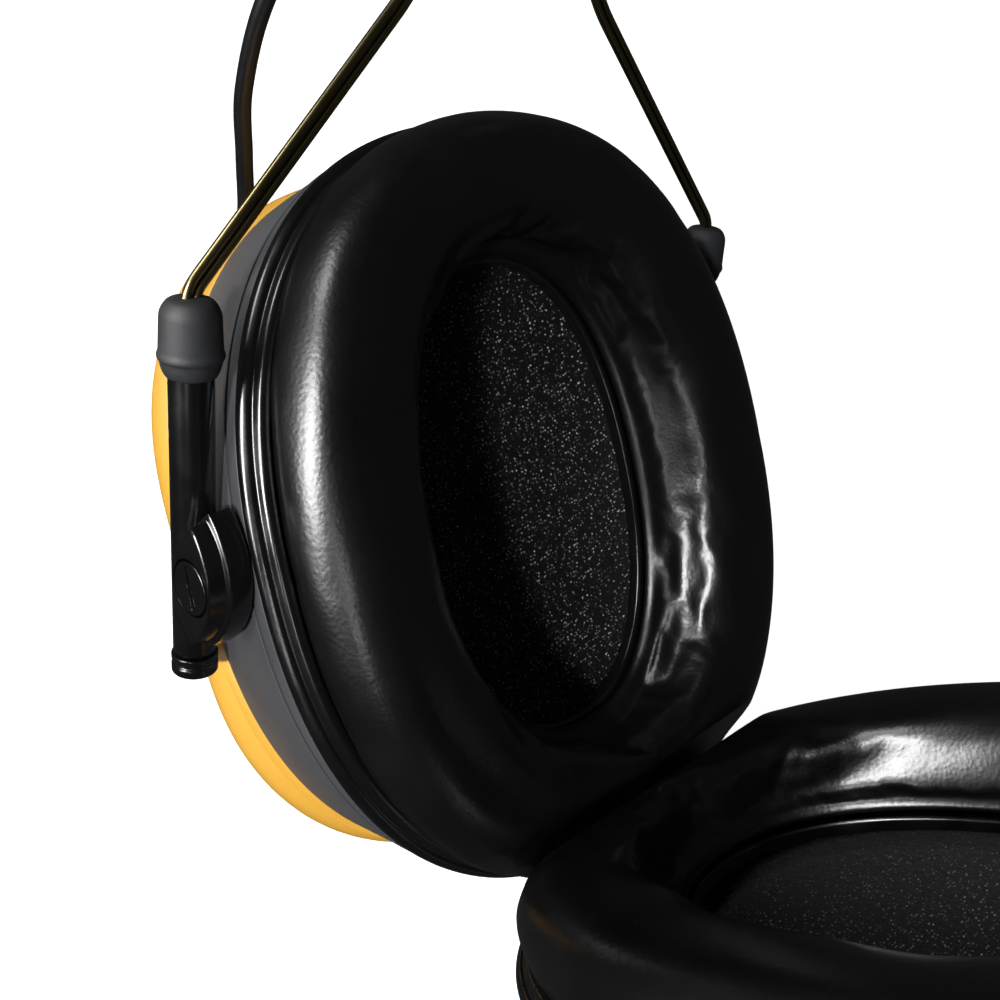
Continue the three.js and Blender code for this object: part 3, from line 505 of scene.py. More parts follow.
# Puckers: where round the oval (degrees from across, turning up), width in degrees, depth in mm.
PUCKERS = [(4, 9, 0.3), (24, 8, -0.4), (47, 7, 0.7), (60, 7, -0.5), (80, 9, 0.4), (112, 9, -0.4),
           (150, 10, 0.4), (196, 9, -0.3), (222, 8, 0.4), (238, 8, -0.4), (262, 9, 0.5), (281, 8, -0.4),
           (297, 7, 0.6), (309, 7, -0.7), (322, 7, 0.8), (336, 7, -0.4)]


def cushion_form(side):
    """Blends between the outer and inner ovals by each section point's share, then shifts the inner crown
    along n and inwards by a sum of bell curves, one for each pucker."""
    section = smooth_loop(CUSHION_SECTION, ACROSS)
    angle = round_angles(AROUND)
    outer = np.stack(oval(CUSHION, angle), -1)
    inner = np.stack(oval(OPENING, angle), -1)
    share = section[None, :, :1]
    flat = outer * (1 - share) + inner * share
    turn = np.degrees(angle)[:, None]
    fold = sum(depth * np.exp(-(((turn - at + 180) % 360 - 180) / wide) ** 2) for at, wide, depth in PUCKERS)
    crown = np.exp(-((section[:, 0] - 0.74) / 0.12) ** 2) * (section[:, 1] > 4)
    n = section[None, :, 1] + 0.75 * fold * crown[None, :]
    flat = flat * (1 - 0.012 * (fold * crown)[..., None])
    return cup_to_frame(side, flat[..., 0], flat[..., 1], n)


def hold(points, side):
    """Keeps the cushion on its own side of the middle plane, where the two press flat."""
    limit = 0.16 * MM
    points[:, 0] = side * np.maximum(side * points[:, 0], limit)
    return points


SIM_FRAMES, PRESSURE, SWELL = 16, 3.0, 1.4 * MM


def simulate(made, side):
    """Inflates the skin with gravity off, its foot pinned, then caps each point's travel at SWELL."""
    mesh = made.data
    rest = np.empty(3 * len(mesh.vertices))
    mesh.vertices.foreach_get("co", rest)
    rest = rest.reshape(-1, 3)
    n = (rest[:, 2] / MM - CUP_CENTRE_Z) * SIN - (side * rest[:, 0] / MM - CUP_CENTRE_X) * COS
    foot = made.vertex_groups.new(name="foot")
    foot.add(np.flatnonzero(n < 3.6).tolist(), 1.0, "REPLACE")
    cloth = made.modifiers.new("fill", "CLOTH")
    cloth.settings.use_pressure = True
    cloth.settings.uniform_pressure_force = PRESSURE
    cloth.settings.vertex_group_mass = "foot"
    cloth.settings.shrink_min = -0.03
    cloth.settings.quality = 4
    cloth.settings.effector_weights.gravity = 0
    cloth.collision_settings.use_collision = False
    for step in range(1, SIM_FRAMES + 1):
        bpy.context.scene.frame_set(step)
    shaped = made.evaluated_get(bpy.context.evaluated_depsgraph_get())
    moved = np.empty(3 * len(rest))
    shaped.data.vertices.foreach_get("co", moved)
    made.modifiers.clear()
    travel = moved.reshape(-1, 3) - rest
    size = np.linalg.norm(travel, axis=1, keepdims=True)
    travel *= np.minimum(1, SWELL / np.maximum(size, 1e-9))
    mesh.vertices.foreach_set("co", hold(rest + travel, side).ravel())
    bpy.context.scene.frame_set(1)
    print(made.name, "mean travel mm", float(np.minimum(size, SWELL).mean() / MM))


cushions = {}
for name, side in SIDES.items():
    form = hold(cushion_form(side).reshape(-1, 3), side).reshape(AROUND, ACROSS, 3)
    made = piece(f"{name}_cushion_skin", form, None, VINYL, smooth_angle=180)
    simulate(made, side)
    made.modifiers.new("finer", "SUBSURF").levels = made.modifiers["finer"].render_levels = 1
    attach(made, f"{name}_cup")
    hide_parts(f"{name}_ear_cushion")
    cushions[name] = made

# %% Foam liners
# A sheet of open-cell foam dished behind the opening. Its surface is rough at the scale of its cells, which
# is real relief here: seeded noise moves each point of a fine grid along the cup's n axis.
FOAM_EDGE = OPENING + 7
for name, side in SIDES.items():
    random = np.random.default_rng(7)
    share = np.linspace(0, 1, 90)
    floor = -2.2 - 6.8 * np.cos(share * math.pi / 2) ** 0.7
    under = floor[::-1] - 3.4
    half = FOAM_EDGE[None, :] * np.r_[share, share[::-1]][:, None]
    u, v = oval(half, round_angles(220))
    n = np.broadcast_to(np.r_[floor, under], u.shape) + random.normal(0, 0.09, u.shape)
    n[:, [0, -1]] = floor[0], under[-1]
    made = piece(f"{name}_foam_sheet", cup_to_frame(side, u, v, n), f"{name}_cup", FOAM,
                 (True, False), smooth_angle=180)
    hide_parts(f"{name}_foam_liner")

# %% [markdown]
# ## Sliders
# Each cup hangs between two tubes. A tube has a rubber cap on top, where the spring wires go in, an end
# stop at its foot, and a lens-shaped clip that slides on it and carries the pivot pin.

# %% Tubes, caps and end stops
TUBE_RADIUS, TUBE_TOP, TUBE_BOTTOM = 2.7, 35.0, -8.2
CAP_TOP, CAP_LENGTH, CAP_RADIUS = 38.1, 9.3, 3.75
CAP_FOOT = CAP_TOP - CAP_LENGTH
STOP_TOP = TUBE_BOTTOM - GAP
tube_outline = [(0, TUBE_BOTTOM), (TUBE_RADIUS, TUBE_BOTTOM), (TUBE_RADIUS, TUBE_TOP), (0, TUBE_TOP)]
cap_outline = [(0, CAP_FOOT + 0.2), (TUBE_RADIUS + 0.25, CAP_FOOT), (CAP_RADIUS - 0.35, CAP_FOOT + 0.9),
               (CAP_RADIUS - 0.1, CAP_FOOT + 2.0), (CAP_RADIUS + 0.14, CAP_FOOT + 2.35),
               (CAP_RADIUS + 0.14, CAP_FOOT + 2.75), (CAP_RADIUS - 0.04, CAP_FOOT + 3.2),
               (CAP_RADIUS - 0.22, CAP_TOP - 1.5), (CAP_RADIUS - 1.1, CAP_TOP - 0.25), (1.6, CAP_TOP),
               (0, CAP_TOP)]
stop_outline = [(0, STOP_TOP - 2.8), (2.6, STOP_TOP - 2.8), (2.95, STOP_TOP - 2.6), (2.95, STOP_TOP - 1.5),
                (2.68, STOP_TOP - 1.3), (2.68, STOP_TOP - 0.95), (2.95, STOP_TOP - 0.75), (2.95, STOP_TOP),
                (0, STOP_TOP + 0.25)]
CAP_ROUNDING = [0, 0.3, 0.8, 0.3, 0.15, 0.15, 0.4, 1.0, 0.8, 0.6, 0]
STOP_ROUNDING = [0, 0.7, 0.2, 0.1, 0.1, 0.1, 0.1, 0.15, 0]


def on_slider(side, hand):
    """Maps a turned piece's (across, across, along) to a slider's (x, z, y)."""
    return lambda a, b, h: slider_to_frame(side, hand, a, h, b)


def sliders():
    """Each slider's name, body side and hand: the left cup's u axis points to the back, and the right
    cup's to the front."""
    for name, side in SIDES.items():
        for end in ("front", "rear"):
            yield f"{name}_{end}", name, side, 1 if (end == "rear") == (side < 0) else -1


for title, name, side, hand in sliders():
    place = on_slider(side, hand)
    tube = turned(tube_outline, 0.3, place)
    made = piece(f"{title}_slider_tube", tube, "headband", BLACK, (True, False))
    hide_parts(f"{title}_tube")
    cap = turned(cap_outline, CAP_ROUNDING, place)
    made = piece(f"{title}_rubber_cap", cap, "headband", RUBBER, (True, False),
                 smooth_angle=60)
    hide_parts(f"{title}_cap")
    foot = turned(stop_outline, STOP_ROUNDING, place)
    made = piece(f"{title}_tube_foot", foot, "headband", BLACK, (True, False))
    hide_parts(f"{title}_end_stop")

# %% Pivot clips
# The clip is two arcs that meet in points, stepped once towards its outer face, with a round seat for the
# pin's head. In polar form an arc's distance from the centre is -d |cos| + sqrt(R^2 - d^2 sin^2).
CLIP_LENGTH, CLIP_WIDTH = 9.2, 4.7
CLIP_LOW, CLIP_HIGH = 48.0 - TUBE_OFFSET, TUBE_RADIUS + 1.3
HEAD_RADIUS, SEAT_RADIUS = 3.4, 3.7
SLOT_HALF_WIDTH, SLOT_REACH, SLOT_DEPTH = 0.42, 2.8, 0.4


def lens(half_length, half_width, angle):
    """Polar radius of a lens whose points lie along the tube."""
    radius = (half_length ** 2 + half_width ** 2) / (2 * half_width)
    d = radius - half_width
    return -d * np.abs(np.cos(angle)) + np.sqrt(radius ** 2 - (d * np.sin(angle)) ** 2)


def clip_grid(side, hand):
    """Levels of (inset, height, roundness): each is a lens shrunk by its inset, blended towards the seat's
    circle by its roundness, at a height along x."""
    step = (CLIP_LOW + CLIP_HIGH) / 2 + 0.4
    levels = rounded([(4.6, CLIP_LOW, 0), (0, CLIP_LOW, 0), (0, step, 0), (0.6, step + 0.15, 0),
                      (0.75, CLIP_HIGH, 0), (1.2, CLIP_HIGH, 1), (1.2, CLIP_HIGH - 1.1, 1),
                      (4.6, CLIP_HIGH - 1.1, 1)],
                     [0, 0.4, 0.3, 0.2, 0.35, 0.02, 0.1, 0], closed=False)
    angle = round_angles(160)[:, None]
    inset, height, roundness = levels.T
    edge = lens(CLIP_LENGTH - 1.6 * inset, CLIP_WIDTH - inset, angle)
    core = np.clip((4.6 - inset) / 3.4, 0, 1) * SEAT_RADIUS
    radius = edge * (1 - roundness) + np.minimum(core, SEAT_RADIUS) * roundness
    radius = np.where(inset > 4.5, 0, radius)
    across, along = radius * np.cos(angle), radius * np.sin(angle)
    height = np.broadcast_to(height, radius.shape)
    return slider_to_frame(side, hand, height, PIVOT_ALONG + along, PIVOT_ACROSS + across)


def pin_grid(side, hand):
    """A turned head with a slot: points of the top within the slot's half width sink by its depth."""
    low, top = BODY[0] - BODY_WALL - 1 - TUBE_OFFSET, CLIP_HIGH + 0.12
    profile = rounded([(0, low), (1.3, low), (1.3, top - 0.9), (HEAD_RADIUS, top - 0.9), (HEAD_RADIUS, top),
                       (HEAD_RADIUS - 0.5, top)], [0, 0.1, 0, 0.1, 0.35, 0], closed=False)
    face = np.column_stack([np.linspace(HEAD_RADIUS - 0.5, 0, 40)[1:], np.full(39, top)])
    profile = np.vstack([profile, face])
    angle = round_angles(160)[:, None]
    across, along = profile[:, 0] * np.cos(angle), profile[:, 0] * np.sin(angle)
    height = np.broadcast_to(profile[:, 1], across.shape).copy()
    from_slot = np.abs(across * 0.94 + along * 0.34)
    slot = np.clip((SLOT_HALF_WIDTH - from_slot) / 0.1, 0, 1) * (np.hypot(across, along) < SLOT_REACH)
    height -= SLOT_DEPTH * slot * (height > top - 0.2)
    return slider_to_frame(side, hand, height, PIVOT_ALONG + along, PIVOT_ACROSS + across)


def saddle_grid(side, hand):
    """The clip's foot behind the tube: a short rounded block, its section a superellipse of power 6."""
    levels = rounded([(0, -4.2), (1, -4.2), (1, 4.2), (0, 4.2)], [0, 0.25, 0.25, 0], closed=False)
    x, z = oval([2.3, 4.6], round_angles(48), 6.0)
    share = levels[:, 0][None, :]
    along = PIVOT_ALONG + levels[:, 1][None, :]
    return slider_to_frame(side, hand, -3.1 + 2.3 / 2 + x * share, along, -0.6 + z * share)


for title, name, side, hand in sliders():
    made = piece(f"{title}_clip", clip_grid(side, hand), f"{name}_yoke", BLACK, (True, False))
    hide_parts(f"{title}_pivot_clip")
    piece(f"{title}_clip_saddle", saddle_grid(side, hand), f"{name}_yoke", BLACK, (True, False))
    made = piece(f"{title}_pin", pin_grid(side, hand), f"{name}_yoke", BLACK, (True, False))
    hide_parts(f"{title}_pivot_pin")

# %% [markdown]
# ## Headband
# Four strands of spring wire run from cap to cap over the head, in two pairs. Where they leave a cap they
# flare outwards, then bend into one round arch. The route is the middle line of a pair, and each strand
# lies to one side of it.

# %% Wire route
ARCH_RADIUS, ARCH_RISE, ARCH_SPREAD = 81.0, 100.2, 13.0
ARCH_END = math.radians(104)
ARCH_HEIGHT = CUP_CENTRE_Z + ARCH_RISE
WIRE_RADIUS, STRAND_SPACING = 0.58, 1.3


def on_tube(height):
    """A point of the left front tube's axis, in millimetres."""
    return slider_to_frame(-1, -1, 0.0, height, 0.0) / MM


def on_arch(angle, y=-ARCH_SPREAD, radius=ARCH_RADIUS):
    """Points of the arch, by angle from the top towards the left cup."""
    angle = np.atleast_1d(angle)
    height = ARCH_HEIGHT + radius * np.cos(angle)
    return np.column_stack([-radius * np.sin(angle), np.full(len(angle), float(y)), height])


def bend(before, at, after, reach, count):
    """A quadratic curve round a corner, starting and ending a given length from it."""
    a = at + (before - at) * reach / np.linalg.norm(before - at)
    b = at + (after - at) * reach / np.linalg.norm(after - at)
    t = np.linspace(0, 1, count)[:, None]
    return (1 - t) ** 2 * a + 2 * t * (1 - t) * at + t ** 2 * b


def pair_route():
    """Inside the tube, round the corner at the cap, out along the flare, and up into the arch."""
    inside, leave = on_tube(TUBE_TOP - 14), on_tube(CAP_TOP + 0.6)
    end = on_arch(ARCH_END)[0]
    slope = end - on_arch(ARCH_END - 0.01)[0]
    flare = end + slope / np.linalg.norm(slope) * 18
    half = np.vstack([inside, bend(inside, leave, flare, 1.8, 8), bend(leave, flare, end, 10, 14),
                      on_arch(ARCH_END * (1 - np.arange(49) / 48))])
    return np.vstack([half, half[-2::-1] * [-1, 1, 1]])


def sweep(route, radius, sides=16, sideways=(0, 1, 0)):
    """Carries a circle along a route in millimetres: at each point one axis is the sideways direction made
    square to the path, and the other is their cross product. The ends close on the centre line."""
    slope = np.gradient(route, axis=0)
    slope /= np.linalg.norm(slope, axis=1, keepdims=True)
    first = np.array(sideways) - slope * (slope @ np.array(sideways))[:, None]
    first /= np.linalg.norm(first, axis=1, keepdims=True)
    second = np.cross(slope, first)
    angle = round_angles(sides)[:, None, None]
    tube = route + radius * (np.cos(angle) * first + np.sin(angle) * second)
    ends = [np.broadcast_to(route[i], (sides, 1, 3)) for i in (0, -1)]
    return np.concatenate([ends[0], tube, ends[1]], axis=1) * MM


def strand(offset):
    """The pair's route, moved sideways across the path."""
    route = pair_route()
    slope = np.gradient(route, axis=0)
    slope /= np.linalg.norm(slope, axis=1, keepdims=True)
    across = np.array([0, 1, 0]) - slope * slope[:, 1:2]
    return route + offset * across / np.linalg.norm(across, axis=1, keepdims=True)


for end, hand in (("front", 1), ("rear", -1)):
    for place, offset in (("outer", -STRAND_SPACING / 2), ("inner", STRAND_SPACING / 2)):
        wire = sweep(strand(offset) * [1, hand, 1], WIRE_RADIUS, 18)
        made = piece(f"{end}_{place}_strand", wire, "headband", WIRE, (True, False))
        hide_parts(f"{end}_{place}_wire")
print("wire length mm", np.linalg.norm(np.diff(pair_route(), axis=0), axis=1).sum().round(1))

# %% [markdown]
# The pad is a vinyl sleeve sewn over the wires: a thin cover above and a foam cushion below, held together
# by a seam along each edge. Both are closed sections carried round the arch, and both narrow to the seam
# at their ends.

# %% Headband pad
CABLE_RADIUS = 1.35
PAD_END, PAD_HALF_WIDTH = math.radians(88), 17.0
COVER_THICK, PAD_THICK = 2.2, 6.5
LIP_WIDE, PAD_CROWN, SEAM_GAP = 2.4, 1.2, 0.05
BAND_GAP = CABLE_RADIUS + GAP


def pad_grid(inner, outer, crown, lip=0.0, count=150):
    """A rounded section (across, height) whose height swells in the middle of the arch's width by crown, and
    whose whole thickness falls to a seam at both ends of the arch as the fourth root of 1 - s^8. A lip
    along both edges stands up past the outer face."""
    angle = np.linspace(-PAD_END, PAD_END, count)
    across = PAD_HALF_WIDTH
    section = rounded([(-across, inner), (0, inner - crown), (across, inner), (across, outer + lip),
                       (across - LIP_WIDE, outer + lip), (across - LIP_WIDE, outer), (0, outer),
                       (LIP_WIDE - across, outer), (LIP_WIDE - across, outer + lip), (-across, outer + lip)],
                      [2.4, 14, 2.4, 0.7, 0.4, 0.4, 8, 0.4, 0.4, 0.7], 9)
    middle = (inner + outer) / 2
    share = (1 - np.abs(angle / PAD_END) ** 8) ** 0.25
    radius = ARCH_RADIUS + middle + (section[:, 1][None, :] - middle) * share[:, None]
    radius += 0.12 * np.sin(angle * 9)[:, None] * np.cos(section[:, 0] / across * math.pi / 2)[None, :]
    y = section[:, 0][None, :] * (0.9 + 0.1 * share[:, None])
    x, z = radius * np.sin(angle)[:, None], ARCH_HEIGHT + radius * np.cos(angle)[:, None]
    return np.stack([x, np.broadcast_to(y, x.shape), z], -1) * MM


cover = pad_grid(BAND_GAP, BAND_GAP + COVER_THICK, 0.0)
made = piece("headband_top_cover", cover, "headband", VINYL, (False, True), smooth_angle=60)
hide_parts("headband_cover")
pad = pad_grid(PAD_CROWN - BAND_GAP - PAD_THICK, -BAND_GAP, PAD_CROWN, 2 * BAND_GAP - SEAM_GAP)
made = piece("headband_pad", pad, "headband", VINYL, (False, True), smooth_angle=60)
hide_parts("headband_cushion")

# %% Headband stitches
# Each stitch is a short fat thread that dips into the vinyl at both ends, every 3.5 mm along both edges.
STITCH, STITCH_STEP, THREAD = 2.4, 3.5, 0.28


def stitches(edge):
    """One bent capsule, a half-sine arc of thread, copied along the arch as one array of points."""
    height = ARCH_RADIUS + BAND_GAP + COVER_THICK
    count = int(2 * (PAD_END - 0.09) * height / STITCH_STEP)
    centre = np.linspace(-PAD_END + 0.09, PAD_END - 0.09, count)
    s = np.linspace(-1, 1, 7)
    angle = centre[:, None] + s * STITCH / 2 / height
    radius = height - 0.22 + 0.3 * np.cos(s * math.pi / 2)
    turn = round_angles(6)
    thick = THREAD * np.sqrt(np.clip(1 - s ** 4, 0.02, 1))
    r = radius[None, :, None] + thick[None, :, None] * np.cos(turn)
    y = edge + thick[None, :, None] * np.sin(turn)
    x, z = r * np.sin(angle)[..., None], ARCH_HEIGHT + r * np.cos(angle)[..., None]
    points = np.stack(np.broadcast_arrays(x, y, z), -1) * MM
    tile = len(s) * 6
    i, j = np.meshgrid(np.arange(6), np.arange(6), indexing="ij")
    next_j = (j + 1) % 6
    quad = np.stack([i * 6 + j, (i + 1) * 6 + j, (i + 1) * 6 + next_j, i * 6 + next_j], -1).reshape(-1, 4)
    quads = (quad[None] + tile * np.arange(count)[:, None, None]).reshape(-1, 4)
    return points.reshape(-1, 3), quads


for label, edge in (("front", -PAD_HALF_WIDTH + 2.3), ("rear", PAD_HALF_WIDTH - 2.3)):
    points, quads = stitches(edge)
    mesh = bpy.data.meshes.new(f"headband_{label}_stitches")
    mesh.from_pydata(points.tolist(), [], quads.tolist())
    tidy_mesh(mesh)
    made = bpy.data.objects.new(mesh.name, mesh)
    bpy.context.scene.collection.objects.link(made)
    dress(made, "headband", RUBBER)

# %% [markdown]
# ## Cable
# One lead joins the cups. It leaves each shell through a tapered gland, bows up beside the headband and runs
# under its cover. A bow crosses both the slide and the tilt, so it is made as two lengths that meet end to
# end: the lower one from the gland, the upper one on to the headband. Neither rides on a body.

# %% Cable and glands
GLAND_U, GLAND_LENGTH, GLAND_RADIUS, GLAND_RHO = 12.0, 12.0, 3.4, 0.69
RIBS = 5
gland_depth = DOME_DEPTH * math.sqrt(1 - GLAND_RHO ** 3)
gland_seat = np.array([GLAND_RHO * (BODY - BODY_DRAFT)[1], DOME_RIM - gland_depth + DOME_WALL])
gland_aim = np.array([0.8, -0.6])
gland_tip = gland_seat + gland_aim * (GLAND_LENGTH + GAP)
tip = cup_to_frame(-1, -GLAND_U, *gland_tip) / MM
further = cup_to_frame(-1, -GLAND_U, *(gland_tip + 3 * gland_aim)) / MM
under_cover = on_arch(PAD_END + 0.02, 0.0)[0]
# The bow's points, in millimetres: x, y, and the height above the ear openings' centres.
BOW = [(-103, -10.5, 11), (-103.5, -12.5, 20), (-103.5, -15, 31), (-101, -16, 46), (-96, -13, 64),
       (-89, -7, 82), (-82.5, -1.5, 96)]
bow = np.vstack([tip, further, np.array(BOW) + [0, 0, CUP_CENTRE_Z], under_cover])
route = smooth_loop(bow, 121, closed=False)
MEET = 52
print("cable bow length mm", np.linalg.norm(np.diff(route, axis=0), axis=1).sum().round(1))
for name, side in SIDES.items():
    own = route * [-side, 1, 1]
    tube = sweep(own[:MEET + 1], CABLE_RADIUS, 24)
    lower = piece(f"{name}_cable_lower", tube, None, JACKET, (True, False))
    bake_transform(lower)
    tube = sweep(own[MEET:], CABLE_RADIUS, 24)
    upper = piece(f"{name}_cable_upper", tube, None, JACKET, (True, False))
    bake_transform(upper)
    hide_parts(f"{name}_cable_tail")

    def place(a, b, h, side=side):
        """Maps a turned gland's height to its aim out of the dome, and its width across and along it."""
        v = gland_seat[0] + gland_aim[0] * h - gland_aim[1] * b
        n = gland_seat[1] + gland_aim[1] * h + gland_aim[0] * b
        return cup_to_frame(side, side * GLAND_U + a, v, n)

    ribs = []
    for rib in range(RIBS):
        foot, wide, narrow = 4.6 + 1.4 * rib, 3.2 - 0.22 * rib, 2.6 - 0.16 * rib
        ribs += [(wide, foot), (wide, foot + 0.8), (narrow, foot + 1.0), (narrow, foot + 1.3)]
    outline = [(0, 0), (GLAND_RADIUS, 0), (GLAND_RADIUS, 4.2), *ribs, (CABLE_RADIUS + 0.1, GLAND_LENGTH),
               (0, GLAND_LENGTH)]
    gland = turned(outline, 0.25, place, 48, 3)
    made = piece(f"{name}_strain_relief", gland, f"{name}_cup", RUBBER, (True, False))
    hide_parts(f"{name}_cable_gland")

over = on_arch((PAD_END + 0.02) * (1 - np.arange(121) / 60), 0.0)
run = sweep(over, CABLE_RADIUS, 16)
made = piece("cable_under_cover", run, "headband", JACKET, (True, False))
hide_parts("cable_over_head")

# %% [markdown]
# ## Right cup's controls
# The right dome carries a battery pod with a hinged door, and a volume knob. Both are rounded rectangles or
# rounds built from levels: a half size and a depth for each.

# %% Battery pod and door
RADIUS_CELL, LENGTH_CELL = 5.25, 44.5
DOOR = np.array([4 * RADIUS_CELL + 4 * GAP + 2.8, LENGTH_CELL + 2 * GAP + 0.9]) / 2
POD = DOOR + 3
POD_U, POD_V = -7.5, 6.5
POD_FACE = DOME_RIM - DOME_DEPTH - 2.4
DOOR_THICK = 1.6


def levels_grid(centre, half, levels, radii, power, count=160, wave=None):
    """Levels of (inset, n) on a rounded rectangle, which is an oval of high power, closing on its centre."""
    flat = rounded(levels, radii, closed=False)
    sizes = np.maximum(half[None, :] - flat[:, :1], 0)
    sizes[[0, -1]] = 0
    u, v = oval(sizes, round_angles(count), power)
    n = np.broadcast_to(flat[:, 1], u.shape)
    if wave is not None:
        n = n + wave(u, v, n)
    return cup_to_frame(1, centre[0] + u, centre[1] + v, n)


pod_levels = [(9, DOME_RIM - 5), (-2.5, DOME_RIM - 5), (-1.2, POD_FACE + 4), (0, POD_FACE), (2.7, POD_FACE),
              (2.7, POD_FACE + 1.9), (9, POD_FACE + 1.9)]
pod = levels_grid((POD_U, POD_V), POD, pod_levels, [0, 1, 2, 1.6, 0.2, 0.1, 0], 7.0)
made = piece("right_battery_pod", pod, "right_cup", YELLOW, (True, False))


def grip(u, v, n):
    """Five shallow ridges near the door's free end: a sine along v, faded out at their ends across u."""
    in_grip = (np.abs(v + 17) < 4.8) * np.clip((8 - np.abs(u)) / 1.5, 0, 1)
    ridge = np.sin((v + 20) * 2 * math.pi / 2.4) * in_grip
    return -0.28 * ridge * (n < POD_FACE + 0.5)


count_in = np.linspace(0.6, DOOR[0], 90)[:, None]
face = np.hstack([count_in, np.full_like(count_in, POD_FACE)])
door_levels = np.vstack([[(DOOR[0], POD_FACE + DOOR_THICK), (0, POD_FACE + DOOR_THICK), (0, POD_FACE)], face])
door = levels_grid((POD_U, POD_V), DOOR, door_levels, [0, 0.2, 0.4] + [0] * 90, 16.0, 240, grip)
made = piece("right_battery_door", door, "battery_door", YELLOW, (True, False))
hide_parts("battery_door")

# %% Volume knob
KNOB_U, KNOB_V, KNOB_RADIUS, KNOB_HEIGHT = 23.0, 20.0, 8.5, 5.0
KNOB_SEAT = DOME_RIM - DOME_DEPTH - 0.6


def knob_grid():
    """A turned profile whose side is fluted: the radius of the points on the side follows a cosine."""
    top, foot = KNOB_SEAT - GAP - KNOB_HEIGHT, KNOB_SEAT - GAP
    outline = [(0, top + 0.5), (5.4, top + 0.5), (6.2, top), (KNOB_RADIUS - 0.2, top), (KNOB_RADIUS, foot),
               (2.5, foot), (2.5, foot + 12), (0, foot + 12)]
    flat = rounded(outline, [0, 0.5, 0.5, 0.8, 0.3, 0.1, 0.1, 0], closed=False)
    angle = round_angles(240)[:, None]
    side = np.clip((flat[:, 0] - 7.6) / 0.5, 0, 1)[None, :]
    radius = flat[:, 0] * (1 - 0.022 * (1 + np.cos(24 * angle)) * side)
    across, along = radius * np.cos(angle), radius * np.sin(angle)
    mark = np.clip((0.5 - np.abs(across)) / 0.15, 0, 1) * (along > 1.5) * (along < 7.6)
    n = flat[:, 1] + 0.4 * mark * (flat[:, 1] < top + 0.8)
    return cup_to_frame(1, KNOB_U + across, KNOB_V + along, n)


made = piece("right_volume_knob", knob_grid(), "volume_knob", CHARCOAL, (True, False))
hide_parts("volume_knob")
land_levels = [(KNOB_RADIUS, DOME_RIM - 6), (-2.6, DOME_RIM - 6), (-1.5, KNOB_SEAT), (KNOB_RADIUS, KNOB_SEAT)]
land = levels_grid((KNOB_U, KNOB_V), np.array([KNOB_RADIUS] * 2), land_levels, [0, 0.5, 1.2, 0], 2.0)
piece("right_knob_land", land, "right_cup", YELLOW, (True, False))

# %% Inner parts
# These keep the model's own shapes. They are plain solids that sit inside the cups, so a material is enough.
INNER = {"left_speaker": STEEL, "right_speaker": STEEL, "left_speaker_baffle": BLACK,
         "right_speaker_baffle": BLACK, "circuit_board": BOARD, "volume_potentiometer": STEEL,
         "battery_1": SLEEVE, "battery_2": SLEEVE}
for node, material in INNER.items():
    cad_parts[node].data.materials.clear()
    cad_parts[node].data.materials.append(material)
shown = [n for n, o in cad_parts.items() if not o.hide_render]
print("model nodes still shown", sorted(shown))

# %% [markdown]
# ## Studio
# A tall narrow box to the left of the camera makes the sheen down the cushion's outer roll, the thin lines on
# the flange and the broken line along the inner crest, and lights gloss only. Two boxes that glossy surfaces
# don't see light the yellow, the greys and the foam, so the vinyl's crown stays black.

# %% Floor, backdrop and lights
def area_light(name, at, aim, size, power, colour="#ffffff"):
    """A rectangular area light at a place in metres, turned to face its aim."""
    data = bpy.data.lights.new(name, "AREA")
    data.shape = "RECTANGLE"
    data.size, data.size_y = size
    data.energy = power
    data.color = rgb(colour)[:3]
    lamp = bpy.data.objects.new(name, data)
    bpy.context.scene.collection.objects.link(lamp)
    away = np.array(at) - np.array(aim)
    away /= np.linalg.norm(away)
    flat = np.cross((0, 0, 1), away)
    flat /= np.linalg.norm(flat)
    turn = Matrix(np.column_stack([flat, np.cross(away, flat), away]).tolist()).to_4x4()
    lamp.matrix_world = Matrix.Translation(at) @ turn
    return lamp


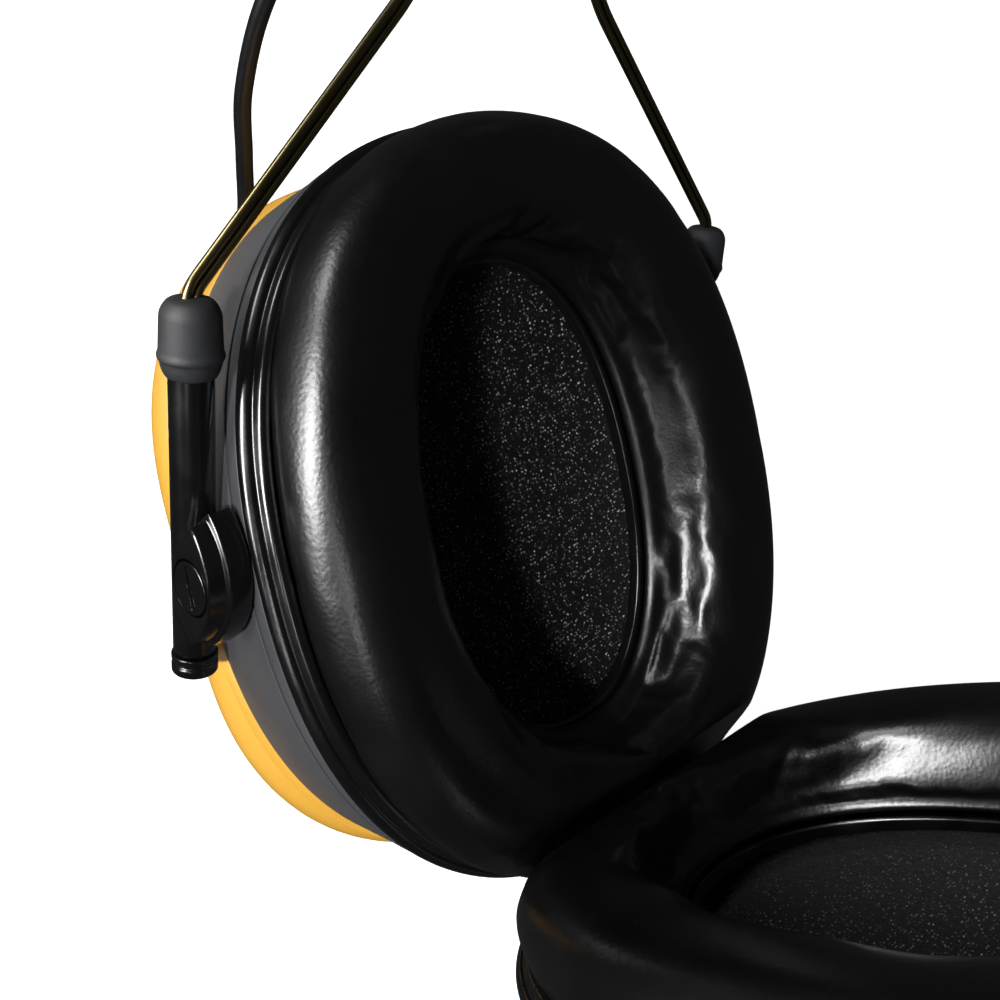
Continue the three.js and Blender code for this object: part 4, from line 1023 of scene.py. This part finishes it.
def stage_surface(name, points, faces, strength):
    """A stage piece of plain pale card, seen by the camera but kept out of glossy reflections."""
    mesh = bpy.data.meshes.new(name)
    mesh.from_pydata(points, [], faces)
    made = bpy.data.objects.new(name, mesh)
    bpy.context.scene.collection.objects.link(made)
    card, tree, shader, _ = start_material(name + "_card", base_color=rgb("#f4f4f4"), roughness=0.9)
    shader.inputs["Emission Color"].default_value = rgb("#ffffff")
    shader.inputs["Emission Strength"].default_value = strength
    mesh.materials.append(card)
    made.visible_glossy = False
    return made


STAGE_HALF, FLOOR_DROP = 3.0, 0.0003
corners = [(x * STAGE_HALF, y * STAGE_HALF) for x, y in ((-1, -1), (1, -1), (1, 1), (-1, 1))]
floor = stage_surface("floor", [(x, y, -FLOOR_DROP) for x, y in corners], [(0, 1, 2, 3)], 0.92)
floor.visible_diffuse = False
wall = [(x, y, z) for z in (0, 2 * STAGE_HALF) for x, y in corners]
wall_faces = [(0, 1, 5, 4), (1, 2, 6, 5), (2, 3, 7, 6), (3, 0, 4, 7), (4, 5, 6, 7)]
backdrop = stage_surface("backdrop", wall, wall_faces, 1.0)
backdrop.visible_diffuse = False
backdrop.visible_shadow = False

def from_centre(heading, elevation, distance):
    """A place at a heading and an elevation in degrees, seen from the middle of the cups."""
    h, e = math.radians(heading), math.radians(elevation)
    towards = np.array([math.cos(e) * math.cos(h), math.cos(e) * math.sin(h), math.sin(e)])
    return tuple(np.array(CENTRE) + distance * towards)


CENTRE = (0.0, 0.0, 0.06)
for label, heading, elevation, size, power in (("tall_key", -98, 16, (0.24, 0.6), 20),
                                               ("crest_line", -60, 10, (0.05, 0.3), 0.9),
                                               ("upper_left", -130, 42, (0.2, 0.2), 2.2)):
    box = area_light(label, from_centre(heading, elevation, 0.85), CENTRE, size, power)
    box.visible_diffuse = False
for label, heading, elevation, size, power in (("soft_left", -150, 12, (0.7, 0.7), 5.5),
                                               ("foam_side", -67, 20, (0.08, 0.08), 9)):
    soft = area_light(label, from_centre(heading, elevation, 0.9), CENTRE, size, power)
    soft.visible_glossy = False

world = bpy.data.worlds.new("dim_studio")
bpy.context.scene.world = world
world.use_nodes = True
world.node_tree.nodes["Background"].inputs["Color"].default_value = rgb("#d8dce0")
world.node_tree.nodes["Background"].inputs["Strength"].default_value = 0.05
bpy.context.scene.view_settings.view_transform = "Standard"
